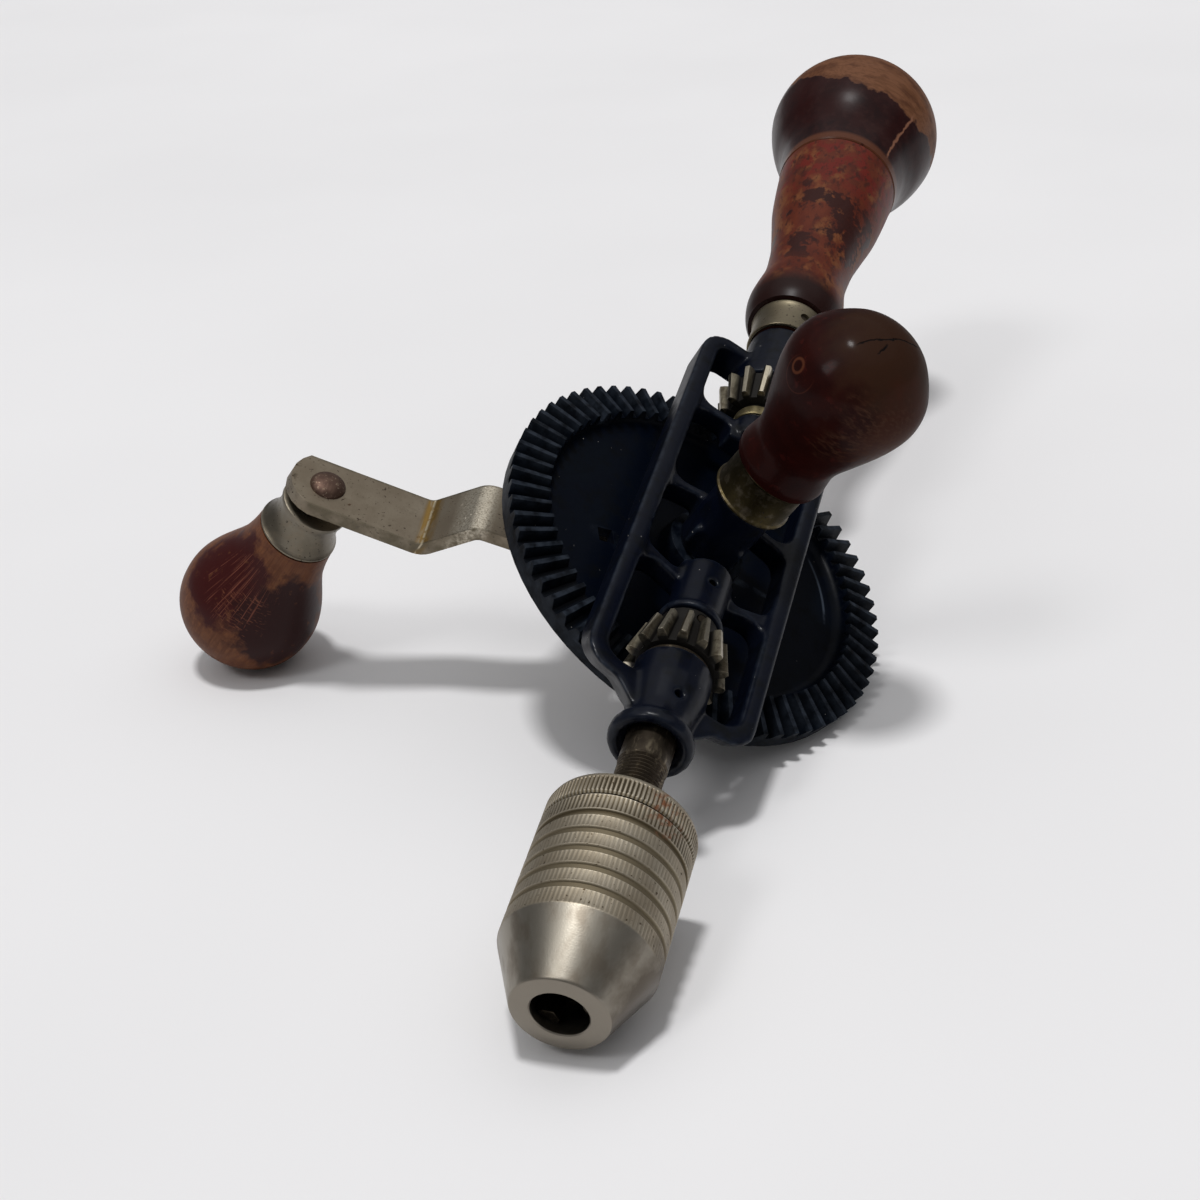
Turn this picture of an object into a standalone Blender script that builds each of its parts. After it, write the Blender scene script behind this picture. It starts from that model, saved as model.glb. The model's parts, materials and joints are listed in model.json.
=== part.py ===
"""A hand drill with a crank wheel, two bevel pinions and a three jaw chuck.

The pieces are drawn in the drill's own axes: +Y runs up the spindle from the chuck to the main
handle, +Z runs from the crank wheel to the side handle, and the two shafts cross at the origin.
The whole drill is then laid on its three resting points, with +Z up and the chuck towards -Y.
"""
import math

import bmesh
import bpy
from mathutils import Matrix, Vector

MM = 0.001

# Gaps and cutting
SEAT = 0.3 * MM            # between fixed pieces that touch
RUN = 0.3 * MM             # round a shaft that turns
OVERRUN = 3.0 * MM         # how far a cutter runs past the face that it cuts
LAP = 1.2 * MM             # how far the parts of one casting run into each other
WELD = 0.001 * MM          # corners nearer than this are one corner
CUT_WELD = 0.01 * MM       # the same, for the corners that cutting leaves

# Faces round a turned piece
FACES_LARGE = 28
FACES_MEDIUM = 20
FACES_SMALL = 10
ARC_STEPS = 4
SHARP_ANGLE = math.radians(35)

# Bevel gears: the cones of the wheel and the two pinions meet at the origin
WHEEL_TEETH = 68
PINION_TEETH = 14
WHEEL_PITCH_RADIUS = 54.74 * MM
MODULE = 2 * WHEEL_PITCH_RADIUS / WHEEL_TEETH
PINION_PITCH_RADIUS = MODULE * PINION_TEETH / 2
PRESSURE_ANGLE = math.radians(20)
ADDENDUM = 1.35 * MM
DEDENDUM = 1.65 * MM
BACKLASH = 0.16 * MM       # taken off each side of every tooth
TOE_SHARE = 0.816          # the teeth's inner end, as a share of the way from the origin
WHEEL_TURN = math.radians(2.06)    # where the first tooth of the wheel stands
PINION_BACK = WHEEL_PITCH_RADIUS + DEDENDUM * math.sin(math.atan2(PINION_TEETH, WHEEL_TEETH))

# Crank wheel
WHEEL_RIM_BACK = 17.2 * MM
WHEEL_RIM_RADIUS = 53.9 * MM
WHEEL_RIM_WIDTH = 7.0 * MM
WHEEL_RIM_LIP = 1.2 * MM
WHEEL_DISC_FRONT = 13.0 * MM
WHEEL_DISC_THICK = 3.0 * MM
WHEEL_DISC_RADIUS = 41.8 * MM
WHEEL_TOOTH_FOOT = 0.9 * MM
WHEEL_HUB_RADIUS = 11.5 * MM
WHEEL_HUB_BACK = 21.6 * MM
WHEEL_HUB_TAPER = 0.8 * MM
WHEEL_SPIGOT_RADIUS = 8.2 * MM
WHEEL_SPIGOT_LENGTH = 3.6 * MM
WHEEL_SPIGOT_FLAT = 6.9 * MM       # from the axis to each of its two flats
WHEEL_HOLE_SIDE = 4.3 * MM
WHEEL_HOLE_RADIUS = 26.8 * MM
WHEEL_HOLE_ANGLE = math.radians(-155)

# Frame casting
FRAME_FRONT = 3.0 * MM
FRAME_BACK = 5.3 * MM
FRAME_HALF_WIDTH = 23.0 * MM
FRAME_SIDE = 4.9 * MM
FRAME_CORNER = 8.0 * MM
FRAME_INNER_CORNER = 4.5 * MM
FRAME_NOSE_END_FRONT = 70.0 * MM   # the two end walls lean outwards towards the front
FRAME_NOSE_END_BACK = 63.4 * MM
FRAME_NOSE_WALL = 5.0 * MM
FRAME_HIGH_END_FRONT = 70.2 * MM
FRAME_HIGH_END_BACK = 66.4 * MM
FRAME_HIGH_WALL = 3.6 * MM
GUSSET_HALF = 13.5 * MM
GUSSET_TIP_HALF = 8.4 * MM
GUSSET_LENGTH = 5.0 * MM
GUSSET_FILLET = 4.0 * MM
RIB_FRONT = 1.8 * MM
RIB_BACK = 4.9 * MM
RIB_THICK = 2.8 * MM
RIB_FILLET = 4.5 * MM
RIB_LOW_SIDE = -23.0 * MM          # where the lower rib meets the side, along the spindle
RIB_LOW_BOSS = -26.5 * MM
RIB_MID_SIDE = 4.0 * MM
RIB_MID_BOSS = 6.0 * MM
RIB_HIGH_SIDE = 38.8 * MM
RIB_HIGH_BOSS = 39.6 * MM
RIB_WING = 7.0 * MM                # how far a rib's foot runs along the side
BOSS_WINDOW_GAP = 7.2 * MM

# Spindle and its bearings
SPINDLE_RADIUS = 5.8 * MM
SPINDLE_NECK_RADIUS = 5.0 * MM
SPINDLE_START = 121.4 * MM         # end of the thread inside the chuck
SPINDLE_END = 19.5 * MM
THREAD_DEPTH = 0.35 * MM
THREAD_LENGTH = 33.0 * MM
NOSE_BOSS_START = 81.8 * MM
NOSE_FLANGE_RADIUS = 10.2 * MM
NOSE_FLANGE_WIDTH = 4.4 * MM
NOSE_FLANGE_EDGE = 1.0 * MM
NOSE_NECK_RADIUS = 8.0 * MM
NOSE_WAIST = 73.0 * MM
NOSE_SHOULDER_RADIUS = 9.6 * MM
NOSE_SHOULDER = 64.0 * MM
NOSE_RECESS_RADIUS = 7.6 * MM
NOSE_RECESS_DEPTH = 1.6 * MM
WASHER_RADIUS = 8.6 * MM
WASHER_THICK = 0.9 * MM
BOSS_FACE = PINION_BACK + SEAT + WASHER_THICK + SEAT    # the nose boss, towards its pinion
INNER_BOSS_RADIUS = 6.9 * MM
INNER_BOSS_END = 20.3 * MM
INNER_BOSS_FACE = 40.1 * MM
INNER_BOSS_FLARE_RADIUS = 8.4 * MM
INNER_BOSS_FLARE = 3.2 * MM
OIL_HOLE_RADIUS = 1.1 * MM
OIL_HOLE_NOSE = 69.5 * MM
OIL_HOLE_INNER = 27.8 * MM

# Pinions
PINION_BORE_RADIUS = SPINDLE_RADIUS + SEAT
PINION_HUB_RADIUS = 7.3 * MM
PINION_HUB_END = 40.5 * MM
PINION_PIN_RADIUS = 1.2 * MM
PINION_PIN_STATION = 42.6 * MM
IDLER_AXLE_RADIUS = 4.0 * MM
IDLER_HEEL_SHARE = 1.032           # its teeth stand a little further out than the wheel's
IDLER_TOE_SHARE = 0.862
IDLER_AXLE_START = 37.6 * MM
IDLER_AXLE_END = 61.0 * MM
IDLER_COLLAR_RADIUS = 6.6 * MM
IDLER_COLLAR_THICK = 3.3 * MM

# Handle end of the frame
HIGH_BOSS_FACE = IDLER_HEEL_SHARE * PINION_BACK + SEAT + WASHER_THICK + SEAT
HIGH_BOSS_RADIUS = 9.4 * MM
HIGH_BOSS_ROOT_RADIUS = 10.2 * MM
HIGH_BOSS_END = 82.0 * MM
HIGH_BOSS_EDGE = 0.8 * MM
IDLER_BOSS_RADIUS = 6.6 * MM
IDLER_BOSS_START = 35.0 * MM
IDLER_BOSS_END = 42.6 * MM
IDLER_BOSS_ROUND = 2.5 * MM

# Cross axis
CENTRE_BOSS_RADIUS = 8.6 * MM
CENTRE_BOSS_BACK = 7.0 * MM
CENTRE_BOSS_FRONT = 13.2 * MM
STUD_THREAD_RADIUS = 4.2 * MM
STUD_THREAD_END = 0.8 * MM
STUD_SHOULDER_RADIUS = 5.4 * MM
STUD_HEAD_RADIUS = 9.6 * MM
STUD_HEAD_THICK = 3.4 * MM
STUD_SLOT_WIDTH = 1.6 * MM
STUD_SLOT_DEPTH = 1.5 * MM

# Crank arm, along its own line: s runs from the wheel's axis, and z is as above
ARM_SWING = math.radians(6.3)      # how far the arm is turned from -X towards -Y
ARM_HALF_WIDTH = 8.75 * MM
ARM_THICK = 3.6 * MM
ARM_EYE_RADIUS = 12.6 * MM
ARM_EYE_FLAT = 12.0 * MM
ARM_KNEE_NEAR = 53.2 * MM
ARM_KNEE_NEAR_DEPTH = 31.4 * MM
ARM_KNEE_FAR = 62.3 * MM
ARM_KNEE_FAR_DEPTH = 45.9 * MM
ARM_TIP = 102.5 * MM               # where the far stretch would end, past the arm's round tip
ARM_TIP_DEPTH = 53.1 * MM
ARM_KNEE_NEAR_BEND = 6.5 * MM
ARM_KNEE_FAR_BEND = 3.0 * MM
ARM_EYE_BEND = 12.0 * MM
ARM_END_RADIUS = 10.3 * MM
ARM_END_CENTRE = 88.4 * MM
ARM_END_OFFSET = 1.3 * MM
CRANK_THROW = 88.9 * MM
ARM_RAKE = math.atan2(ARM_TIP_DEPTH - ARM_KNEE_FAR_DEPTH, ARM_TIP - ARM_KNEE_FAR)
ARM_LEVEL = ARM_KNEE_FAR_DEPTH + (CRANK_THROW - ARM_KNEE_FAR) * math.tan(ARM_RAKE)

# Crank knob and its pin
KNOB_PIN_RADIUS = 2.7 * MM
KNOB_PIN_HEAD_RADIUS = 4.7 * MM
KNOB_PIN_HEAD_HEIGHT = 2.3 * MM
KNOB_PIN_FOOT_RADIUS = 4.4 * MM
KNOB_PIN_FOOT_THICK = 1.8 * MM
KNOB_PLAY = 3.58 * MM              # between the arm's back and the ferrule, along the pin
KNOB_TOP = ARM_LEVEL + ARM_THICK / math.cos(ARM_RAKE) + KNOB_PLAY
KNOB_FERRULE_LENGTH = 11.9 * MM
KNOB_FERRULE_END = KNOB_TOP + KNOB_FERRULE_LENGTH
KNOB_FERRULE_WALL = 0.9 * MM
KNOB_LENGTH = 63.0 * MM            # with its ferrule
KNOB_END = KNOB_TOP + KNOB_LENGTH
KNOB_RADIUS = 19.2 * MM
KNOB_TENON_RADIUS = 7.2 * MM
KNOB_SINK_RADIUS = 5.2 * MM
KNOB_SINK_DEPTH = 6.5 * MM

# Side handle
SIDE_FERRULE_START = 13.6 * MM
SIDE_FERRULE_END = 25.4 * MM
SIDE_FERRULE_RADIUS = 10.6 * MM
SIDE_FERRULE_LIP = 0.5 * MM
SIDE_TENON_RADIUS = 9.3 * MM
SIDE_HANDLE_END = 74.3 * MM
SIDE_HANDLE_RADIUS = 18.4 * MM
SIDE_STUD_RADIUS = 4.0 * MM
SIDE_STUD_START = 3.0 * MM
SIDE_STUD_END = 50.0 * MM

# Main handle, with a cap over its store for bits
MAIN_FERRULE_START = 82.3 * MM
MAIN_FERRULE_END = 93.6 * MM
MAIN_FERRULE_RADIUS = 10.1 * MM
MAIN_FERRULE_FLARE = 0.7 * MM
MAIN_TENON_RADIUS = 9.0 * MM
MAIN_STUD_RADIUS = 4.0 * MM
MAIN_STUD_START = 63.2 * MM
MAIN_STUD_END = 118.0 * MM
FERRULE_PIN_RADIUS = 1.2 * MM
FERRULE_PIN_STATION = 88.6 * MM
FERRULE_PIN_SINK = 0.6 * MM
HANDLE_TOP = 177.6 * MM
HANDLE_MOUTH_RADIUS = 18.3 * MM
STORE_RADIUS = 9.0 * MM
STORE_FLOOR = 126.0 * MM
CAP_RADIUS = 27.0 * MM
CAP_END = 239.2 * MM
CAP_SPIGOT_LENGTH = 12.0 * MM

# Chuck
CHUCK_BACK = 107.1 * MM
CHUCK_RADIUS = 17.0 * MM
CHUCK_BACK_EDGE = 1.2 * MM
COLLAR_END = 112.9 * MM
SHELL_START = 113.6 * MM
CONE_START = 144.2 * MM
BANDS = 5
BAND_GROOVE_WIDTH = 1.7 * MM
BAND_GROOVE_DEPTH = 0.7 * MM
BAND_FIRST_LAND = 5.2 * MM         # from the shell's start to the middle of the first groove
BAND_LAST_LAND = 5.12 * MM         # from the middle of the last groove to the cone
BAND_FIRST_GROOVE = SHELL_START + BAND_FIRST_LAND
BAND_PITCH = (CONE_START - BAND_LAST_LAND - BAND_FIRST_GROOVE) / (BANDS - 1)
CONE_END = 158.0 * MM
NOSE_FACE = 158.5 * MM
NOSE_RADIUS = 10.7 * MM
NOSE_EDGE = 0.5 * MM
CHUCK_MOUTH_RADIUS = 6.2 * MM
CHUCK_MOUTH_DEPTH = 1.0 * MM
SHELL_BORE_RADIUS = 13.6 * MM
CHUCK_BODY_FRONT = 136.4 * MM
CHUCK_SOCKET_END = 121.9 * MM
CHUCK_CENTRE_RADIUS = 4.2 * MM
JAWS = 3
JAW_FIRST_ANGLE = math.radians(-90)
JAW_WIDTH = 4.5 * MM
JAW_SLOT_FLOOR = 123.0 * MM
JAW_TAIL = 126.2 * MM
JAW_TIP = 155.6 * MM
JAW_OPEN = 3.9 * MM                # from the axis to a jaw's edge as it stands
JAW_HEIGHT = 12.0 * MM             # from the axis to a jaw's back


def paint(name, colour, roughness, metallic):
    """A plain finish of one colour."""
    finish = bpy.data.materials.new(name)
    finish.use_nodes = True
    shader = finish.node_tree.nodes["Principled BSDF"]
    shader.inputs["Base Color"].default_value = (*colour, 1)
    shader.inputs["Roughness"].default_value = roughness
    shader.inputs["Metallic"].default_value = metallic
    finish.diffuse_color = (*colour, 1)
    return finish


def axis_empty(name, parent, location, rotation):
    """An empty that holds the axis of a joint."""
    empty = bpy.data.objects.new(name, None)
    bpy.context.collection.objects.link(empty)
    empty.parent = parent
    empty.location = location
    empty.rotation_euler = rotation
    return empty


def as_object(name, shape, finish, parent, rotation=(0, 0, 0), location=(0, 0, 0)):
    """Turn a closed shape into an object of its own."""
    bmesh.ops.recalc_face_normals(shape, faces=shape.faces)
    mesh = bpy.data.meshes.new(name)
    shape.to_mesh(mesh)
    shape.free()
    mesh.shade_smooth()
    mesh.set_sharp_from_angle(angle=SHARP_ANGLE)
    piece = bpy.data.objects.new(name, mesh)
    bpy.context.collection.objects.link(piece)
    piece.parent = parent
    piece.location = location
    piece.rotation_euler = rotation
    if finish is not None:
        mesh.materials.append(finish)
    return piece


def turned(name, outline, finish, parent, rotation=(0, 0, 0), location=(0, 0, 0),
           faces=FACES_MEDIUM):
    """A piece turned round its own Z, from a half section of (radius, height) points."""
    shape = bmesh.new()
    corners = [shape.verts.new((radius, 0, height)) for radius, height in outline]
    sides = [shape.edges.new(pair) for pair in zip(corners, corners[1:])]
    if outline[0][0] > 0:
        sides.append(shape.edges.new((corners[-1], corners[0])))
    bmesh.ops.spin(shape, geom=corners + sides, axis=(0, 0, 1), cent=(0, 0, 0),
                   angle=2 * math.pi, steps=faces)
    bmesh.ops.remove_doubles(shape, verts=shape.verts, dist=WELD)
    return as_object(name, shape, finish, parent, rotation, location)


def plate(name, outlines, low, high, finish, parent, rotation=(0, 0, 0), location=(0, 0, 0),
          upper=None):
    """A flat plate between two heights: first its rim, then the holes through it. The outlines
    of its upper face may differ, where its walls lean."""
    shape = bmesh.new()
    edges = []
    lower_ring = []
    for outline in outlines:
        corners = [shape.verts.new((x, y, low)) for x, y in outline]
        edges += [shape.edges.new(pair) for pair in zip(corners, corners[1:] + corners[:1])]
        lower_ring += corners
    filled = bmesh.ops.triangle_fill(shape, use_beauty=True, edges=edges)
    faces = [item for item in filled["geom"] if isinstance(item, bmesh.types.BMFace)]
    upper_ring = [corner for outline in upper or outlines for corner in outline]
    lift = {}
    for corner, (x, y) in zip(lower_ring, upper_ring):
        lift[corner] = shape.verts.new((x, y, high))
    for face in faces:
        shape.faces.new([lift[corner] for corner in face.verts])
    for edge in edges:
        first, second = edge.verts
        shape.faces.new((first, second, lift[second], lift[first]))
    return as_object(name, shape, finish, parent, rotation, location)


def rounded(corners):
    """The outline through (x, y, fillet) corners, with an arc at each that has a fillet."""
    points = []
    for index, (x, y, fillet) in enumerate(corners):
        here = Vector((x, y))
        if fillet == 0:
            points.append((x, y))
            continue
        before = Vector(corners[index - 1][:2]) - here
        after = Vector(corners[(index + 1) % len(corners)][:2]) - here
        half = before.angle(after) / 2
        reach = fillet / math.tan(half)
        centre = here + (before.normalized() + after.normalized()).normalized() * (
            fillet / math.sin(half))
        start = here + before.normalized() * reach - centre
        finish = here + after.normalized() * reach - centre
        sweep = start.angle_signed(finish)
        for step in range(ARC_STEPS + 1):
            spoke = Matrix.Rotation(-sweep * step / ARC_STEPS, 2) @ start
            points.append(tuple(centre + spoke))
    return points


def mirrored(corners):
    """The right hand copy of a left hand outline."""
    return [(-x, y, fillet) for x, y, fillet in reversed(corners)]


def circle(radius, faces, centre=(0, 0)):
    """A round outline."""
    return [(centre[0] + radius * math.cos(2 * math.pi * step / faces),
             centre[1] + radius * math.sin(2 * math.pi * step / faces))
            for step in range(faces)]


def rod(radius, start, end):
    """The half section of a plain rod."""
    return [(0, start), (radius, start), (radius, end), (0, end)]


def ring(inner, outer, start, end):
    """The half section of a plain ring."""
    return [(inner, start), (outer, start), (outer, end), (inner, end)]


def dome(radius, start, end, base):
    """Half section points of a domed end, from its rim at start to its tip at end."""
    return [(radius * math.cos(turn), start + (end - start) * math.sin(turn))
            for turn in [base + (math.pi / 2 - base) * step / ARC_STEPS
                         for step in range(ARC_STEPS + 1)]][:-1] + [(0, end)]


def combine(piece, other, operation):
    """Add another solid to a piece, or cut it away."""
    modifier = piece.modifiers.new(operation.lower() + "_" + other.name, 'BOOLEAN')
    modifier.operation = operation
    modifier.solver = 'EXACT'
    modifier.object = other
    other.hide_render = True
    other.display_type = 'WIRE'


def settle_shapes():
    """Keep each piece as it was cut, with its sharp edges marked, and drop the cutters."""
    bpy.context.view_layer.update()
    graph = bpy.context.evaluated_depsgraph_get()
    pieces = [piece for piece in bpy.context.scene.objects if piece.modifiers]
    cutters = [piece for piece in bpy.context.scene.objects if piece.hide_render]
    cut = [bpy.data.meshes.new_from_object(piece.evaluated_get(graph)) for piece in pieces]
    for piece, mesh in zip(pieces, cut):
        shape = bmesh.new()
        shape.from_mesh(mesh)
        bmesh.ops.remove_doubles(shape, verts=shape.verts, dist=CUT_WELD)
        bmesh.ops.dissolve_degenerate(shape, edges=shape.edges, dist=CUT_WELD)
        shape.to_mesh(mesh)
        shape.free()
        piece.modifiers.clear()
        piece.data = mesh
        mesh.name = piece.name
        mesh.shade_smooth()
        mesh.set_sharp_from_angle(angle=SHARP_ANGLE)
    for cutter in cutters:
        bpy.data.objects.remove(cutter)


def involute_half_angle(height, pitch_radius, teeth):
    """Half the angle that a tooth takes up at a height above its pitch circle."""
    base = pitch_radius * math.cos(PRESSURE_ANGLE)
    slope = math.acos(min(1, base / (pitch_radius + height)))
    flank = (math.tan(PRESSURE_ANGLE) - PRESSURE_ANGLE) - (math.tan(slope) - slope)
    return math.pi / (2 * teeth) + flank - BACKLASH / (2 * pitch_radius)


def tooth_loop(shape, share, teeth, mate_teeth, flank_steps, turn):
    """One loop of corners round all the teeth, at a share of the way from the cones' tip."""
    cone = math.atan2(teeth, mate_teeth)
    pitch_radius = MODULE * teeth / 2
    pitch_depth = MODULE * mate_teeth / 2
    heights = [-DEDENDUM + (ADDENDUM + DEDENDUM) * step / flank_steps
               for step in range(flank_steps + 1)]
    flank = [(height, involute_half_angle(height, pitch_radius / math.cos(cone),
                                          teeth / math.cos(cone)) / math.cos(cone))
             for height in heights]
    corners = []
    for tooth in range(teeth):
        middle = turn + 2 * math.pi * tooth / teeth
        walk = [(height, middle - half) for height, half in flank]
        walk += [(height, middle + half) for height, half in reversed(flank)]
        for height, angle in walk:
            radius = share * (pitch_radius + height * math.cos(cone))
            depth = share * (pitch_depth - height * math.sin(cone))
            corners.append(shape.verts.new((radius * math.cos(angle), radius * math.sin(angle),
                                            -depth)))
    return corners


def band(shape, many, few):
    """Faces between two closed loops, where the first has a whole number of times more."""
    times = len(many) // len(few)
    for index, corner in enumerate(few):
        following = few[(index + 1) % len(few)]
        for step in range(times):
            first = many[index * times + step]
            second = many[(index * times + step + 1) % len(many)]
            if step < times - 1:
                shape.faces.new((first, second, corner))
            else:
                shape.faces.new((first, second, following, corner))


def bevel_gear(name, teeth, mate_teeth, flank_steps, spokes, turn, outline, finish, parent,
               rotation=(0, 0, 0), heel_share=1, toe_share=TOE_SHARE):
    """A bevel gear below the origin. Its outline runs from the teeth's outer ends round the
    back and the bore to their inner ends, as (radius, depth) points."""
    shape = bmesh.new()
    heel = tooth_loop(shape, heel_share, teeth, mate_teeth, flank_steps, turn)
    toe = tooth_loop(shape, toe_share, teeth, mate_teeth, flank_steps, turn)
    first = turn - math.pi / teeth
    loops = []
    for radius, depth in outline:
        loops.append([])
        for spoke in range(teeth * spokes):
            angle = first + 2 * math.pi * (spoke + 1 / 2) / (teeth * spokes)
            loops[-1].append(shape.verts.new((radius * math.cos(angle), radius * math.sin(angle),
                                              -depth)))
    band(shape, heel, toe)
    band(shape, heel, loops[0])
    for near, far in zip(loops, loops[1:]):
        band(shape, near, far)
    band(shape, toe, loops[-1])
    return as_object(name, shape, finish, parent, rotation)


def frame_outline(nose_end, high_end):
    """The ring's rim and its opening, for the places of its two end walls."""
    half, inner = FRAME_HALF_WIDTH, FRAME_HALF_WIDTH - FRAME_SIDE
    left = [(-half, high_end, FRAME_CORNER), (-half, -nose_end, FRAME_CORNER),
            (-GUSSET_HALF, -nose_end, GUSSET_FILLET),
            (-GUSSET_TIP_HALF, -nose_end - GUSSET_LENGTH, 0)]
    window = [(-inner, -nose_end + FRAME_NOSE_WALL), (inner, -nose_end + FRAME_NOSE_WALL),
              (inner, high_end - FRAME_HIGH_WALL), (-inner, high_end - FRAME_HIGH_WALL)]
    return [rounded(left + mirrored(left)),
            rounded([(x, y, FRAME_INNER_CORNER) for x, y in window])]


def build_frame(rest, finish):
    """The casting: a ring with bosses for the two shafts, carried on ribs."""
    inner = FRAME_HALF_WIDTH - FRAME_SIDE
    rims = [frame_outline(FRAME_NOSE_END_BACK, FRAME_HIGH_END_BACK),
            frame_outline(FRAME_NOSE_END_FRONT, FRAME_HIGH_END_FRONT)]
    frame = plate("frame_casting", rims[0], -FRAME_BACK, FRAME_FRONT, finish, rest,
                  upper=rims[1])

    outer = inner + LAP
    half_rib = RIB_THICK / 2
    foot = [(-outer, RIB_LOW_SIDE - RIB_WING, 0), (-inner, RIB_LOW_SIDE - RIB_WING, 0),
            (-inner, RIB_LOW_SIDE - half_rib, RIB_FILLET),
            (-BOSS_WINDOW_GAP, RIB_LOW_BOSS - half_rib, 0)]
    head = [(-BOSS_WINDOW_GAP, RIB_HIGH_BOSS + half_rib, 0),
            (-inner, RIB_HIGH_SIDE + half_rib, RIB_FILLET),
            (-inner, RIB_HIGH_SIDE + RIB_WING, 0), (-outer, RIB_HIGH_SIDE + RIB_WING, 0)]
    low_window = [(-inner, RIB_LOW_SIDE + half_rib, RIB_FILLET),
                  (-BOSS_WINDOW_GAP, RIB_LOW_BOSS + half_rib, RIB_FILLET / 2),
                  (-BOSS_WINDOW_GAP, RIB_MID_BOSS - half_rib, RIB_FILLET / 2),
                  (-inner, RIB_MID_SIDE - half_rib, RIB_FILLET)]
    high_window = [(-inner, RIB_MID_SIDE + half_rib, RIB_FILLET),
                   (-BOSS_WINDOW_GAP, RIB_MID_BOSS + half_rib, RIB_FILLET / 2),
                   (-BOSS_WINDOW_GAP, RIB_HIGH_BOSS - half_rib, RIB_FILLET / 2),
                   (-inner, RIB_HIGH_SIDE - half_rib, RIB_FILLET)]
    outlines = [foot + mirrored(foot) + mirrored(head) + head,
                low_window, mirrored(low_window), high_window, mirrored(high_window)]
    ribs = plate("rib_web", [rounded(outline) for outline in outlines], -RIB_BACK, RIB_FRONT,
                 None, rest)
    middle = [(-BOSS_WINDOW_GAP - LAP, -INNER_BOSS_END + LAP),
              (BOSS_WINDOW_GAP + LAP, -INNER_BOSS_END + LAP),
              (BOSS_WINDOW_GAP + LAP, -CENTRE_BOSS_RADIUS + LAP),
              (-BOSS_WINDOW_GAP - LAP, -CENTRE_BOSS_RADIUS + LAP)]
    upper_middle = [(-BOSS_WINDOW_GAP - LAP, CENTRE_BOSS_RADIUS - LAP),
                    (BOSS_WINDOW_GAP + LAP, CENTRE_BOSS_RADIUS - LAP),
                    (BOSS_WINDOW_GAP + LAP, IDLER_BOSS_START - LAP),
                    (-BOSS_WINDOW_GAP - LAP, IDLER_BOSS_START - LAP)]
    for number, outline in enumerate((middle, upper_middle)):
        gap = plate("rib_gap_%d" % (number + 1), [outline], -RIB_BACK - OVERRUN,
                    RIB_FRONT + OVERRUN, None, rest)
        combine(ribs, gap, 'DIFFERENCE')
    combine(frame, ribs, 'UNION')

    nose = [(0, -NOSE_BOSS_START), (NOSE_FLANGE_RADIUS - NOSE_FLANGE_EDGE, -NOSE_BOSS_START),
            (NOSE_FLANGE_RADIUS, -NOSE_BOSS_START + NOSE_FLANGE_EDGE),
            (NOSE_FLANGE_RADIUS, -NOSE_BOSS_START + NOSE_FLANGE_WIDTH - NOSE_FLANGE_EDGE),
            (NOSE_NECK_RADIUS, -NOSE_BOSS_START + NOSE_FLANGE_WIDTH + NOSE_FLANGE_EDGE),
            (NOSE_NECK_RADIUS, -NOSE_WAIST), (NOSE_SHOULDER_RADIUS, -NOSE_SHOULDER),
            (NOSE_SHOULDER_RADIUS, -BOSS_FACE), (0, -BOSS_FACE)]
    inner_boss = [(0, -INNER_BOSS_FACE), (INNER_BOSS_FLARE_RADIUS, -INNER_BOSS_FACE),
                  (INNER_BOSS_FLARE_RADIUS, -INNER_BOSS_FACE + INNER_BOSS_FLARE / 2),
                  (INNER_BOSS_RADIUS, -INNER_BOSS_FACE + INNER_BOSS_FLARE),
                  (INNER_BOSS_RADIUS, -INNER_BOSS_END), (0, -INNER_BOSS_END)]
    high = [(0, HIGH_BOSS_FACE), (HIGH_BOSS_ROOT_RADIUS, HIGH_BOSS_FACE),
            (HIGH_BOSS_RADIUS, FRAME_HIGH_END_FRONT + GUSSET_LENGTH),
            (HIGH_BOSS_RADIUS, HIGH_BOSS_END - HIGH_BOSS_EDGE),
            (HIGH_BOSS_RADIUS - HIGH_BOSS_EDGE, HIGH_BOSS_END), (0, HIGH_BOSS_END)]
    idler = [(0, IDLER_BOSS_START), (IDLER_BOSS_RADIUS - IDLER_BOSS_ROUND, IDLER_BOSS_START),
             (IDLER_BOSS_RADIUS - IDLER_BOSS_ROUND / 3, IDLER_BOSS_START + IDLER_BOSS_ROUND / 3),
             (IDLER_BOSS_RADIUS, IDLER_BOSS_START + IDLER_BOSS_ROUND),
             (IDLER_BOSS_RADIUS, IDLER_BOSS_END), (0, IDLER_BOSS_END)]
    bosses = {"nose_boss": nose, "inner_boss": inner_boss, "high_boss": high,
              "idler_boss": idler}
    for name, outline in bosses.items():
        combine(frame, turned(name, outline, None, rest, ALONG_Y), 'UNION')
    centre = turned("centre_boss", rod(CENTRE_BOSS_RADIUS, -CENTRE_BOSS_BACK, CENTRE_BOSS_FRONT),
                    None, rest)
    combine(frame, centre, 'UNION')

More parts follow.
